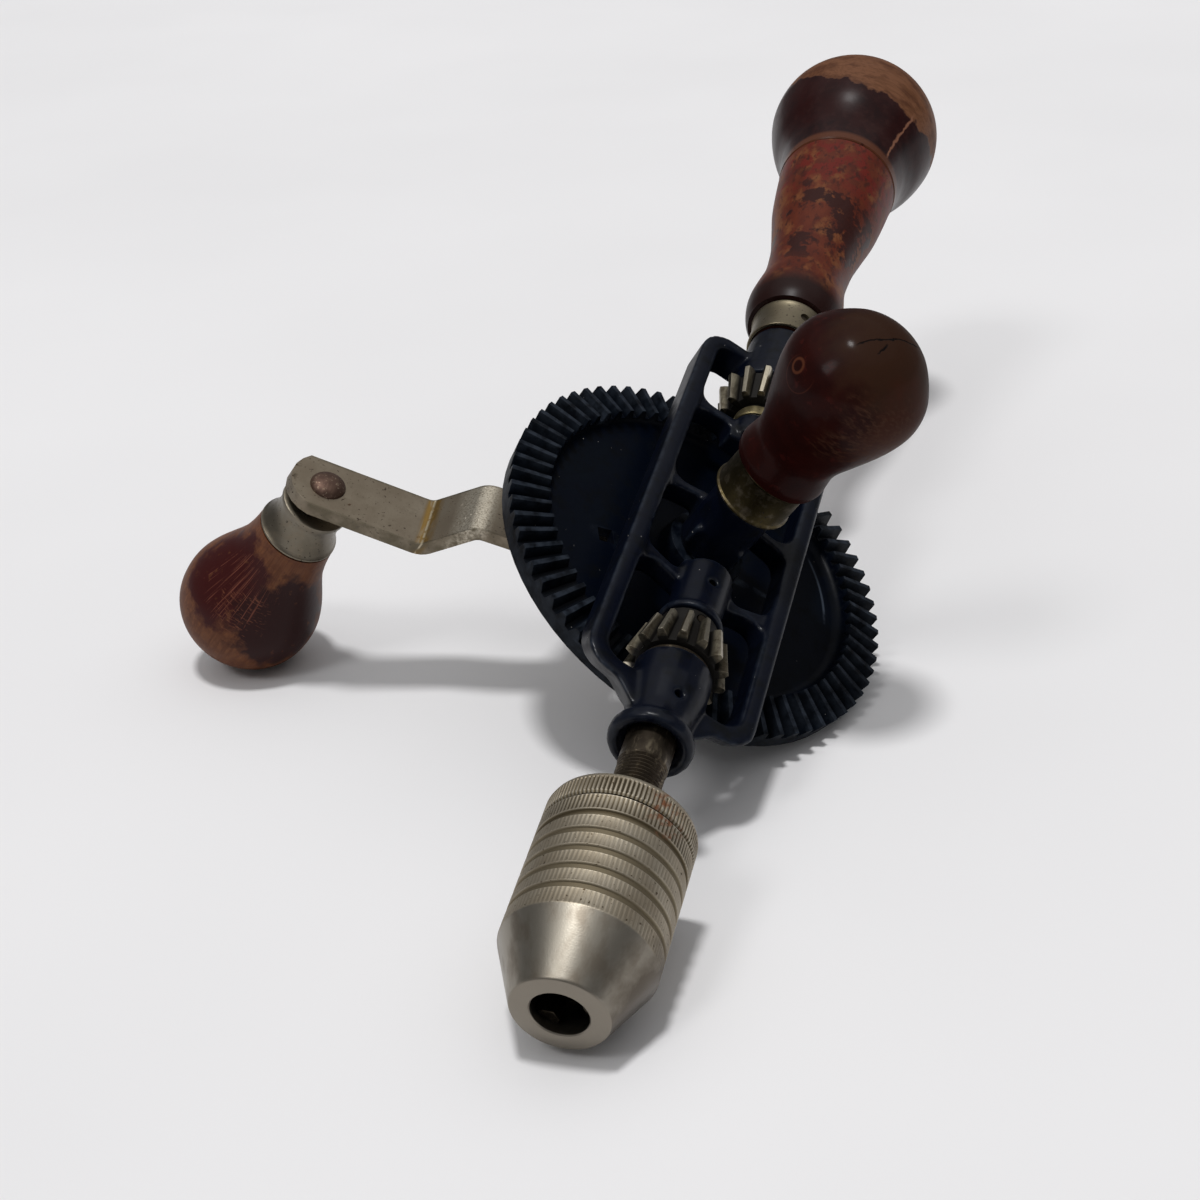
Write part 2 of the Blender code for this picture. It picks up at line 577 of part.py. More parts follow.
    bore = SPINDLE_RADIUS + RUN
    neck_bore = SPINDLE_NECK_RADIUS + RUN
    spindle_bore = [(0, -NOSE_BOSS_START - OVERRUN),
                    (NOSE_RECESS_RADIUS, -NOSE_BOSS_START - OVERRUN),
                    (NOSE_RECESS_RADIUS, -NOSE_BOSS_START + NOSE_RECESS_DEPTH),
                    (bore, -NOSE_BOSS_START + NOSE_RECESS_DEPTH),
                    (bore, -BOSS_FACE + OVERRUN), (neck_bore, -BOSS_FACE + OVERRUN),
                    (neck_bore, -INNER_BOSS_END + OVERRUN), (0, -INNER_BOSS_END + OVERRUN)]
    bores = {"spindle_bore": (spindle_bore, ALONG_Y),
             "idler_bore": (rod(IDLER_AXLE_RADIUS + SEAT, IDLER_AXLE_START - SEAT,
                                IDLER_AXLE_END + SEAT), ALONG_Y),
             "handle_bore": (rod(MAIN_STUD_RADIUS + SEAT, MAIN_STUD_START - SEAT,
                                 HIGH_BOSS_END + OVERRUN), ALONG_Y),
             "stud_bore": (rod(STUD_THREAD_RADIUS + SEAT, -CENTRE_BOSS_BACK - OVERRUN,
                               STUD_THREAD_END + SEAT), UPRIGHT),
             "side_bore": (rod(SIDE_STUD_RADIUS + SEAT, SIDE_STUD_START - SEAT,
                               CENTRE_BOSS_FRONT + OVERRUN), UPRIGHT)}
    for name, (outline, rotation) in bores.items():
        combine(frame, turned(name, outline, None, rest, rotation), 'DIFFERENCE')
    for number, station in enumerate((OIL_HOLE_NOSE, OIL_HOLE_INNER)):
        hole = turned("oil_hole_%d" % (number + 1), rod(OIL_HOLE_RADIUS, 0, NOSE_FLANGE_RADIUS),
                      None, rest, UPRIGHT, (0, -station, 0), FACES_SMALL)
        combine(frame, hole, 'DIFFERENCE')


def build_spindle(axis, steel, worn_steel):
    """The shaft that carries the chuck, with its pinion pinned on."""
    thread_end = -SPINDLE_START + THREAD_LENGTH
    spindle = turned("spindle", [
        (0, -SPINDLE_START), (SPINDLE_RADIUS - THREAD_DEPTH, -SPINDLE_START),
        (SPINDLE_RADIUS - THREAD_DEPTH, thread_end), (SPINDLE_RADIUS, thread_end + THREAD_DEPTH),
        (SPINDLE_RADIUS, -PINION_HUB_END), (SPINDLE_NECK_RADIUS, -PINION_HUB_END),
        (SPINDLE_NECK_RADIUS, -SPINDLE_END), (0, -SPINDLE_END)], steel, axis, ALONG_Y)
    pinion = build_pinion("drive_pinion", PINION_HUB_END, PINION_BORE_RADIUS, PINION_HUB_RADIUS,
                          -math.pi / 2, worn_steel, axis, ALONG_Y)
    hole = turned("pin_hole", rod(PINION_PIN_RADIUS + SEAT, -PINION_HUB_RADIUS - OVERRUN,
                                  PINION_HUB_RADIUS + OVERRUN),
                  None, axis, UPRIGHT, (0, -PINION_PIN_STATION, 0), FACES_SMALL)
    combine(spindle, hole, 'DIFFERENCE')
    combine(pinion, hole, 'DIFFERENCE')
    turned("pinion_pin", rod(PINION_PIN_RADIUS, -PINION_HUB_RADIUS, PINION_HUB_RADIUS), steel,
           axis, UPRIGHT, (0, -PINION_PIN_STATION, 0), FACES_SMALL)
    turned("drive_thrust_washer", ring(SPINDLE_RADIUS + SEAT, WASHER_RADIUS,
                                       -BOSS_FACE + SEAT, -BOSS_FACE + SEAT + WASHER_THICK),
           steel, axis, ALONG_Y)


def build_pinion(name, hub_end, bore, hub_radius, mesh_angle, finish, parent, rotation,
                 heel_share=1, toe_share=TOE_SHARE):
    """A bevel pinion whose tooth gap faces the wheel's tooth at its mesh angle."""
    nearest = round((mesh_angle - WHEEL_TURN) * WHEEL_TEETH / (2 * math.pi))
    offset = WHEEL_TURN + nearest * 2 * math.pi / WHEEL_TEETH - mesh_angle
    roll = offset * WHEEL_TEETH / PINION_TEETH
    facing = math.pi / 2 if mesh_angle < 0 else -math.pi / 2
    turn = facing + math.pi / PINION_TEETH - roll
    cone = math.atan2(PINION_TEETH, WHEEL_TEETH)
    root = PINION_PITCH_RADIUS - DEDENDUM * math.cos(cone)
    depth = WHEEL_PITCH_RADIUS + DEDENDUM * math.sin(cone)
    outline = [(heel_share * root - SEAT, heel_share * depth), (bore, heel_share * depth),
               (bore, hub_end), (hub_radius, hub_end),
               (min(hub_radius, toe_share * root - SEAT), toe_share * depth)]
    return bevel_gear(name, PINION_TEETH, WHEEL_TEETH, 3, 2, turn, outline, finish, parent,
                      rotation, heel_share, toe_share)


def build_idler(rest, axis, steel, worn_steel, brass):
    """The second pinion, free on its own axle, which holds the wheel square."""
    turned("idler_axle", rod(IDLER_AXLE_RADIUS, IDLER_AXLE_START, IDLER_AXLE_END), steel, rest,
           ALONG_Y)
    hub_end = IDLER_BOSS_END + SEAT + IDLER_COLLAR_THICK + SEAT
    build_pinion("idler_pinion", hub_end, IDLER_AXLE_RADIUS + RUN,
                 IDLER_AXLE_RADIUS + RUN + MODULE, math.pi / 2, worn_steel, axis, AGAINST_Y,
                 IDLER_HEEL_SHARE, IDLER_TOE_SHARE)
    turned("idler_collar", ring(IDLER_AXLE_RADIUS + SEAT, IDLER_COLLAR_RADIUS,
                                IDLER_BOSS_END + SEAT,
                                IDLER_BOSS_END + SEAT + IDLER_COLLAR_THICK), brass, rest, ALONG_Y)
    turned("idler_thrust_washer", ring(IDLER_AXLE_RADIUS + SEAT, WASHER_RADIUS,
                                       HIGH_BOSS_FACE - SEAT - WASHER_THICK,
                                       HIGH_BOSS_FACE - SEAT),
           steel, rest, ALONG_Y)


def build_wheel(rest, axis, enamel, steel):
    """The toothed wheel, and the shoulder screw that it turns on."""
    cone = math.atan2(WHEEL_TEETH, PINION_TEETH)
    root = WHEEL_PITCH_RADIUS - DEDENDUM * math.cos(cone)
    depth = PINION_PITCH_RADIUS + DEDENDUM * math.sin(cone)
    disc_back = WHEEL_DISC_FRONT + WHEEL_DISC_THICK
    rim_inner = WHEEL_RIM_RADIUS - WHEEL_RIM_WIDTH
    bore = STUD_SHOULDER_RADIUS + RUN
    hub_front = CENTRE_BOSS_BACK + RUN
    spigot_end = WHEEL_HUB_BACK + WHEEL_SPIGOT_LENGTH
    outline = [(root, depth + WHEEL_TOOTH_FOOT), (WHEEL_RIM_RADIUS, WHEEL_RIM_BACK),
               (rim_inner, WHEEL_RIM_BACK), (rim_inner - WHEEL_RIM_LIP, disc_back),
               (WHEEL_HUB_RADIUS + WHEEL_HUB_TAPER, disc_back),
               (WHEEL_HUB_RADIUS, WHEEL_HUB_BACK), (WHEEL_SPIGOT_RADIUS, WHEEL_HUB_BACK),
               (WHEEL_SPIGOT_RADIUS, spigot_end), (bore, spigot_end), (bore, hub_front),
               (WHEEL_HUB_RADIUS - WHEEL_HUB_TAPER, hub_front),
               (WHEEL_HUB_RADIUS, WHEEL_DISC_FRONT), (WHEEL_DISC_RADIUS, WHEEL_DISC_FRONT),
               (TOE_SHARE * root - SEAT, TOE_SHARE * depth + WHEEL_TOOTH_FOOT)]
    wheel = bevel_gear("gear_wheel", WHEEL_TEETH, PINION_TEETH, 1, 1, WHEEL_TURN, outline, enamel,
                       axis)
    side = WHEEL_HOLE_SIDE / 2
    square = [(-side, -side), (side, -side), (side, side), (-side, side)]
    place = (WHEEL_HOLE_RADIUS * math.cos(WHEEL_HOLE_ANGLE),
             WHEEL_HOLE_RADIUS * math.sin(WHEEL_HOLE_ANGLE), 0)
    hole = plate("wheel_hole", [square], -disc_back - OVERRUN, -WHEEL_DISC_FRONT + OVERRUN, None,
                 axis, (0, 0, WHEEL_HOLE_ANGLE), place)
    combine(wheel, hole, 'DIFFERENCE')
    for number, side in enumerate((-1, 1)):
        flat = [(-WHEEL_HUB_RADIUS, WHEEL_SPIGOT_FLAT), (WHEEL_HUB_RADIUS, WHEEL_SPIGOT_FLAT),
                (WHEEL_HUB_RADIUS, WHEEL_HUB_RADIUS), (-WHEEL_HUB_RADIUS, WHEEL_HUB_RADIUS)]
        cutter = plate("spigot_flat_%d" % (number + 1), [[(x, side * y) for x, y in flat]],
                       -spigot_end - OVERRUN, -WHEEL_HUB_BACK, None, axis,
                       (0, 0, ARM_SWING))
        combine(wheel, cutter, 'DIFFERENCE')
    head = spigot_end + SEAT
    stud = turned("wheel_stud", [
        (0, -head - STUD_HEAD_THICK),
        (STUD_HEAD_RADIUS - STUD_SLOT_WIDTH / 2, -head - STUD_HEAD_THICK),
        (STUD_HEAD_RADIUS, -head - STUD_HEAD_THICK + STUD_SLOT_WIDTH / 2),
        (STUD_HEAD_RADIUS, -head), (STUD_SHOULDER_RADIUS, -head),
        (STUD_SHOULDER_RADIUS, -CENTRE_BOSS_BACK - SEAT),
        (STUD_THREAD_RADIUS, -CENTRE_BOSS_BACK - SEAT), (STUD_THREAD_RADIUS, STUD_THREAD_END),
        (0, STUD_THREAD_END)], steel, rest)
    slot = [(-STUD_HEAD_RADIUS - OVERRUN, -STUD_SLOT_WIDTH / 2),
            (STUD_HEAD_RADIUS + OVERRUN, -STUD_SLOT_WIDTH / 2),
            (STUD_HEAD_RADIUS + OVERRUN, STUD_SLOT_WIDTH / 2),
            (-STUD_HEAD_RADIUS - OVERRUN, STUD_SLOT_WIDTH / 2)]
    combine(stud, plate("stud_slot", [slot], -head - STUD_HEAD_THICK - OVERRUN,
                        -head - STUD_HEAD_THICK + STUD_SLOT_DEPTH, None, rest), 'DIFFERENCE')


def arm_face():
    """The arm's front face seen from its edge, as (s, z) corners with their bends."""
    eye = WHEEL_HUB_BACK + SEAT
    return [(-ARM_EYE_RADIUS - OVERRUN, -eye, 0), (ARM_EYE_FLAT, -eye, ARM_EYE_BEND),
            (ARM_KNEE_NEAR, -ARM_KNEE_NEAR_DEPTH, ARM_KNEE_NEAR_BEND),
            (ARM_KNEE_FAR, -ARM_KNEE_FAR_DEPTH, ARM_KNEE_FAR_BEND),
            (ARM_TIP, -ARM_TIP_DEPTH, 0)]


def offset_line(corners, distance):
    """The same bent line a distance below, with its bends on the same centres."""
    points = []
    for index, (x, y, bend) in enumerate(corners):
        here = Vector((x, y))
        before = here - Vector(corners[max(index - 1, 0)][:2])
        after = Vector(corners[min(index + 1, len(corners) - 1)][:2]) - here
        normals = [Vector((line.y, -line.x)).normalized() for line in (before, after)
                   if line.length > 0]
        middle = sum(normals, Vector((0, 0))).normalized()
        shift = middle * distance / middle.dot(normals[0])
        turn = 0 if bend == 0 else before.x * after.y - before.y * after.x
        inner = bend + (distance if turn > 0 else -distance)
        points.append((x + shift.x, y + shift.y, 0 if bend == 0 else inner))
    return points


def build_crank(axis, nickel, rivet_steel):
    """The bent arm on the wheel's hub, and the pin that its knob turns on."""
    face = arm_face()
    back = offset_line(face, ARM_THICK)
    side = rounded(face + back[::-1])
    arm = plate("crank_arm", [side], -ARM_EYE_RADIUS - OVERRUN, ARM_EYE_RADIUS + OVERRUN, nickel,
                axis, (math.pi / 2, 0, math.pi + ARM_SWING))
    flare = math.acos(ARM_HALF_WIDTH / ARM_EYE_RADIUS)
    eye = [(ARM_EYE_RADIUS * math.cos(angle), ARM_EYE_RADIUS * math.sin(angle))
           for angle in [math.pi / 2 - flare + (math.pi + 2 * flare) * step / FACES_MEDIUM
                         for step in range(FACES_MEDIUM + 1)]]
    reach = ARM_END_RADIUS
    first = math.asin((-ARM_HALF_WIDTH + ARM_END_OFFSET) / reach)
    second = math.asin((ARM_HALF_WIDTH + ARM_END_OFFSET) / reach)
    tip = [(ARM_END_CENTRE + reach * math.cos(angle), -ARM_END_OFFSET + reach * math.sin(angle))
           for angle in [first + (second - first) * step / (2 * ARC_STEPS)
                         for step in range(2 * ARC_STEPS + 1)]]
    flat = math.asin((WHEEL_SPIGOT_FLAT + SEAT) / (WHEEL_SPIGOT_RADIUS + SEAT))
    seat = []
    for middle in (0, math.pi):
        seat += [((WHEEL_SPIGOT_RADIUS + SEAT) * math.cos(angle),
                  (WHEEL_SPIGOT_RADIUS + SEAT) * math.sin(angle))
                 for angle in [middle - flat + 2 * flat * step / FACES_SMALL
                               for step in range(FACES_SMALL + 1)]]
    pin_hole = circle(KNOB_PIN_RADIUS + SEAT, FACES_SMALL, (CRANK_THROW, 0))
    blank = plate("arm_blank", [tip + eye, seat, pin_hole], -ARM_TIP_DEPTH - ARM_EYE_RADIUS, 0,
                  None, axis, (0, 0, math.pi + ARM_SWING))
    combine(arm, blank, 'INTERSECT')

    place = (-CRANK_THROW * math.cos(ARM_SWING), -CRANK_THROW * math.sin(ARM_SWING), 0)
    foot = -KNOB_END + KNOB_SINK_DEPTH
    shank_top = KNOB_PIN_HEAD_HEIGHT / 2 - ARM_LEVEL
    pin = turned("knob_pin", [
        (0, foot - KNOB_PIN_FOOT_THICK), (KNOB_PIN_FOOT_RADIUS, foot - KNOB_PIN_FOOT_THICK),
        (KNOB_PIN_FOOT_RADIUS, foot - SEAT), (KNOB_PIN_RADIUS, foot - SEAT),
        (KNOB_PIN_RADIUS, shank_top), (0, shank_top)], rivet_steel, axis, UPRIGHT, place,
        FACES_SMALL)
    lift = SEAT * math.cos(ARM_RAKE)
    cap = turned("knob_pin_head",
                 [(0, lift), (KNOB_PIN_HEAD_RADIUS, lift)]
                 + dome(KNOB_PIN_HEAD_RADIUS, lift, lift + KNOB_PIN_HEAD_HEIGHT, 0),
                 None, axis, (Matrix.Rotation(math.pi + ARM_SWING, 4, 'Z')
                              @ Matrix.Rotation(ARM_RAKE, 4, 'Y')).to_euler(),
                 (place[0], place[1], -ARM_LEVEL), FACES_SMALL)
    combine(pin, cap, 'UNION')


def build_knob(axis, wood, nickel):
    """The pear shaped crank knob in its flared ferrule."""
    wall = KNOB_FERRULE_WALL
    bore = KNOB_PIN_RADIUS + RUN
    width = KNOB_TENON_RADIUS + SEAT + wall + SEAT
    length = KNOB_FERRULE_END - KNOB_TOP
    outer_shares = [(1.06, 0), (1.06, 0.09), (1.0, 0.18), (1.0, 0.42), (1.1, 0.68), (1.25, 0.92),
                    (1.25, 1.0)]
    outer = [(width * radius, -KNOB_TOP - length * along) for radius, along in outer_shares]
    inner = [(KNOB_TENON_RADIUS + SEAT, -KNOB_FERRULE_END),
             (KNOB_TENON_RADIUS + SEAT, -KNOB_TOP - wall - SEAT)]
    turned("knob_ferrule", outer + inner + [(bore + wall, -KNOB_TOP - wall - SEAT),
                                            (bore + wall, -KNOB_TOP)], nickel, axis)
    shares = [(0.551, 0.0), (0.572, 0.09), (0.6, 0.17), (0.656, 0.245), (0.75, 0.33),
              (0.85, 0.41), (0.93, 0.475), (0.983, 0.55), (1.0, 0.625), (0.985, 0.705),
              (0.93, 0.775), (0.83, 0.84), (0.68, 0.895), (0.5, 0.94)]
    start = KNOB_FERRULE_END + SEAT
    stations = [(KNOB_RADIUS * radius, -start - (KNOB_END - start) * along)
                for radius, along in shares]
    sink = KNOB_SINK_DEPTH
    turned("crank_knob", [(bore, -KNOB_TOP - wall - 2 * SEAT),
                          (KNOB_TENON_RADIUS, -KNOB_TOP - wall - 2 * SEAT),
                          (KNOB_TENON_RADIUS, -start)] + stations
           + [(KNOB_SINK_RADIUS, -KNOB_END), (KNOB_SINK_RADIUS, -KNOB_END + sink),
              (bore, -KNOB_END + sink)],
           wood, axis, faces=FACES_LARGE)


def build_side_handle(rest, wood, nickel, steel):
    """The pear shaped handle opposite the wheel."""
    turned("side_handle_stud", rod(SIDE_STUD_RADIUS, SIDE_STUD_START, SIDE_STUD_END), steel, rest)
    bore = SIDE_STUD_RADIUS + SEAT
    radius, lip = SIDE_FERRULE_RADIUS, SIDE_FERRULE_LIP
    turned("side_handle_ferrule", [
        (bore, SIDE_FERRULE_START), (radius, SIDE_FERRULE_START),
        (radius, SIDE_FERRULE_START + lip), (radius - lip, SIDE_FERRULE_START + 2 * lip),
        (radius - lip, SIDE_FERRULE_END - 2 * lip), (radius, SIDE_FERRULE_END),
        (SIDE_TENON_RADIUS + SEAT, SIDE_FERRULE_END),
        (SIDE_TENON_RADIUS + SEAT, SIDE_FERRULE_START + 2 * lip),
        (bore, SIDE_FERRULE_START + 2 * lip)], nickel, rest)
    shares = [(0.63, 0.0), (0.66, 0.045), (0.64, 0.1), (0.625, 0.17), (0.665, 0.24),
              (0.745, 0.32), (0.835, 0.41), (0.91, 0.49), (0.968, 0.565), (0.998, 0.64),
              (0.988, 0.7), (0.94, 0.765), (0.85, 0.82), (0.74, 0.875), (0.6, 0.925),
              (0.42, 0.965), (0.2, 0.992), (0.0, 1.0)]
    start = SIDE_FERRULE_END + SEAT
    tenon_start = SIDE_FERRULE_START + 2 * lip + SEAT
    stations = [(SIDE_HANDLE_RADIUS * share, start + (SIDE_HANDLE_END - start) * along)
                for share, along in shares]
    turned("side_handle", [(0, SIDE_STUD_END + SEAT), (bore, SIDE_STUD_END + SEAT),
                           (bore, tenon_start), (SIDE_TENON_RADIUS, tenon_start),
                           (SIDE_TENON_RADIUS, start)] + stations, wood, rest,
           faces=FACES_LARGE)


def build_main_handle(rest, cap_axis, wood, cap_wood, nickel, steel):
    """The long handle, its ferrule and stud, and the cap over its store for bits."""
    bore = MAIN_STUD_RADIUS + SEAT
    stud = turned("main_handle_stud", rod(MAIN_STUD_RADIUS, MAIN_STUD_START, MAIN_STUD_END),
                  steel, rest, ALONG_Y)
    radius, flare = MAIN_FERRULE_RADIUS, MAIN_FERRULE_FLARE
    ferrule = turned("main_handle_ferrule", [
        (MAIN_TENON_RADIUS + SEAT, MAIN_FERRULE_START), (radius, MAIN_FERRULE_START),
        (radius, (MAIN_FERRULE_START + MAIN_FERRULE_END) / 2),
        (radius + flare, MAIN_FERRULE_END), (MAIN_TENON_RADIUS + SEAT, MAIN_FERRULE_END)],
        nickel, rest, ALONG_Y)
    shares = [(0.655, 0.0), (0.72, 0.035), (0.755, 0.085), (0.757, 0.13), (0.725, 0.19),
              (0.686, 0.25), (0.668, 0.31), (0.672, 0.38), (0.705, 0.48), (0.76, 0.56),
              (0.83, 0.65), (0.9, 0.74), (0.945, 0.83), (0.975, 0.92), (1.0, 1.0)]
    start = MAIN_FERRULE_END + SEAT
    stations = [(HANDLE_MOUTH_RADIUS * share, start + (HANDLE_TOP - start) * along)
                for share, along in shares]
    tenon = HIGH_BOSS_END + SEAT
    handle = turned("main_handle", [
        (STORE_RADIUS, HANDLE_TOP), (STORE_RADIUS, STORE_FLOOR), (bore, STORE_FLOOR),
        (bore, tenon), (MAIN_TENON_RADIUS, tenon), (MAIN_TENON_RADIUS, start)]
        + stations, wood, rest, ALONG_Y, faces=FACES_LARGE)

    hole_reach = radius + flare + OVERRUN
    hole = turned("ferrule_pin_hole", rod(FERRULE_PIN_RADIUS + SEAT, -hole_reach, hole_reach),
                  None, rest, UPRIGHT, (0, FERRULE_PIN_STATION, 0), FACES_SMALL)
    for piece in (stud, ferrule, handle):
        combine(piece, hole, 'DIFFERENCE')
    reach = radius - FERRULE_PIN_SINK
    turned("ferrule_pin", rod(FERRULE_PIN_RADIUS, -reach, reach), steel, rest, UPRIGHT,
           (0, FERRULE_PIN_STATION, 0), FACES_SMALL)

    cap_shares = [(0.683, 0.0), (0.7, 0.075), (0.73, 0.145), (0.765, 0.21), (0.805, 0.28),
                  (0.86, 0.355), (0.92, 0.435), (0.975, 0.51), (1.0, 0.57), (0.985, 0.655),
                  (0.925, 0.735), (0.83, 0.81), (0.7, 0.875), (0.53, 0.935), (0.29, 0.98),
                  (0.0, 1.0)]
    base = HANDLE_TOP + SEAT
    stations = [(CAP_RADIUS * share, base + (CAP_END - base) * along)
                for share, along in cap_shares]
    spigot = STORE_RADIUS - SEAT
    turned("handle_cap", [(0, base - CAP_SPIGOT_LENGTH), (spigot, base - CAP_SPIGOT_LENGTH),
                          (spigot, base)] + stations, cap_wood, cap_axis, ALONG_Y,
           faces=FACES_LARGE)


def build_chuck(spindle_axis, shell_axis, nickel, steel, finish_jaws):
    """The chuck body on the spindle's thread, its turning shell and its three jaws."""
    edge = CHUCK_BACK_EDGE
    screw = SHELL_BORE_RADIUS - RUN
    socket = SPINDLE_RADIUS + SEAT
    body = turned("chuck_body", [
        (socket, -CHUCK_BACK), (CHUCK_RADIUS - edge, -CHUCK_BACK),
        (CHUCK_RADIUS, -CHUCK_BACK - edge), (CHUCK_RADIUS, -COLLAR_END + edge / 2),
        (CHUCK_RADIUS - edge / 2, -COLLAR_END), (screw, -COLLAR_END),
        (screw, -CHUCK_BODY_FRONT), (CHUCK_CENTRE_RADIUS, -CHUCK_BODY_FRONT),
        (CHUCK_CENTRE_RADIUS, -CHUCK_SOCKET_END), (socket, -CHUCK_SOCKET_END)],
        nickel, spindle_axis, ALONG_Y, faces=FACES_LARGE)
    cone_wall = [(CHUCK_MOUTH_RADIUS, -NOSE_FACE),
                 (CHUCK_MOUTH_RADIUS, -NOSE_FACE + CHUCK_MOUTH_DEPTH)]
    slope = (CHUCK_RADIUS - NOSE_RADIUS) / (CONE_END - CONE_START)
    wide = NOSE_FACE - CHUCK_MOUTH_DEPTH - (SHELL_BORE_RADIUS - CHUCK_MOUTH_RADIUS) / slope
    groove, low = BAND_GROOVE_WIDTH / 2, CHUCK_RADIUS - BAND_GROOVE_DEPTH
    bands = []
    for number in range(BANDS):
        middle = BAND_FIRST_GROOVE + BAND_PITCH * number
        bands += [(CHUCK_RADIUS, -middle + groove), (low, -middle + groove / 2),
                  (low, -middle - groove / 2), (CHUCK_RADIUS, -middle - groove)]
    turned("chuck_shell", [(SHELL_BORE_RADIUS, -SHELL_START), (low, -SHELL_START),
                           (CHUCK_RADIUS, -SHELL_START - groove / 2)] + bands
           + [(CHUCK_RADIUS, -CONE_START), (NOSE_RADIUS, -CONE_END),
              (NOSE_RADIUS - NOSE_EDGE, -NOSE_FACE)] + cone_wall
           + [(SHELL_BORE_RADIUS, -wide)], nickel, shell_axis, ALONG_Y, faces=FACES_LARGE)

    half = JAW_WIDTH / 2
    slot = half + SEAT
    reach = CHUCK_RADIUS + OVERRUN
    for number in range(JAWS):
        angle = JAW_FIRST_ANGLE + 2 * math.pi * number / JAWS
        slot_side = [(0, -slot), (reach, -slot), (reach, slot), (0, slot)]
        cutter = plate("jaw_slot_%d" % (number + 1), [slot_side], -CHUCK_BODY_FRONT - OVERRUN,
                       -JAW_SLOT_FLOOR, None, spindle_axis, jaw_turn(angle))
        combine(body, cutter, 'DIFFERENCE')
        build_jaw(number, angle, slope, spindle_axis, finish_jaws)


def jaw_turn(angle):
    """The turn that stands a piece along the spindle, with its X at an angle round it."""
    return (Matrix.Rotation(-angle, 4, 'Y') @ Matrix.Rotation(-math.pi / 2, 4, 'X')).to_euler()


def build_jaw(number, angle, slope, spindle_axis, steel):
    """One jaw: its back follows the shell's cone, and its edge lies along the spindle."""
    half = JAW_WIDTH / 2
    bevel = half / math.tan(math.pi / JAWS)
    cone_gap = RUN * math.sqrt(1 + slope ** 2)
    mouth = NOSE_FACE - CHUCK_MOUTH_DEPTH
    corner = math.sqrt(1 - (half / JAW_HEIGHT) ** 2)
    tip_back = corner * (CHUCK_MOUTH_RADIUS + slope * (mouth - JAW_TIP) - cone_gap)
    back = corner * JAW_HEIGHT
    knee = JAW_TIP - (back - tip_back) / slope
    axis = axis_empty("jaw_axis_%d" % (number + 1), spindle_axis, (0, 0, 0), jaw_turn(angle))
    shape = bmesh.new()
    loops = []
    for depth, top in ((JAW_TIP, tip_back), (knee, back), (JAW_TAIL, back)):
        section = [(JAW_OPEN, 0), (JAW_OPEN + bevel, half), (top, half), (top, -half),
                   (JAW_OPEN + bevel, -half)]
        loops.append([shape.verts.new((x, y, -depth)) for x, y in section])
    shape.faces.new(loops[0])
    shape.faces.new(loops[-1][::-1])
    for near, far in zip(loops, loops[1:]):
        band(shape, near, far)
    as_object("chuck_jaw_%d" % (number + 1), shape, steel, axis)


def lay_down(rest):
    """Set the drill on the three points that it rests on, under the middle of its box."""
    bpy.context.view_layer.update()
    hull = bmesh.new()
    for piece in bpy.context.scene.objects:
        if piece.type == 'MESH':
            for corner in piece.data.vertices:
                hull.verts.new(piece.matrix_world @ corner.co)
    wrapped = bmesh.ops.convex_hull(hull, input=hull.verts)
    skin = [item for item in wrapped["geom"] if isinstance(item, bmesh.types.BMFace)]
    for face in skin:
        face.normal_update()
    down = max((face.normal * math.copysign(1, face.normal.dot(face.calc_center_median()))
                for face in skin), key=lambda normal: normal.dot(REST_DOWN))
    up = -down
    along = (Vector((0, 1, 0)) - up * up.y).normalized()
    turn = Matrix((along.cross(up), along, up)).to_4x4()
    placed = [turn @ corner.co for corner in hull.verts]
    hull.free()
    low = [min(corner[i] for corner in placed) for i in range(3)]
    high = [max(corner[i] for corner in placed) for i in range(3)]
    middle = Vector(((low[0] + high[0]) / 2, (low[1] + high[1]) / 2, low[2]))
    rest.matrix_world = Matrix.Translation(-middle) @ turn


# Turns that lay a turned piece along an axis of the drill
UPRIGHT = (0, 0, 0)
ALONG_Y = (-math.pi / 2, 0, 0)
AGAINST_Y = (math.pi / 2, 0, 0)

# Which way down is for the drill at rest, in its own axes
REST_DOWN = Vector((0.596, -0.213, -0.774))


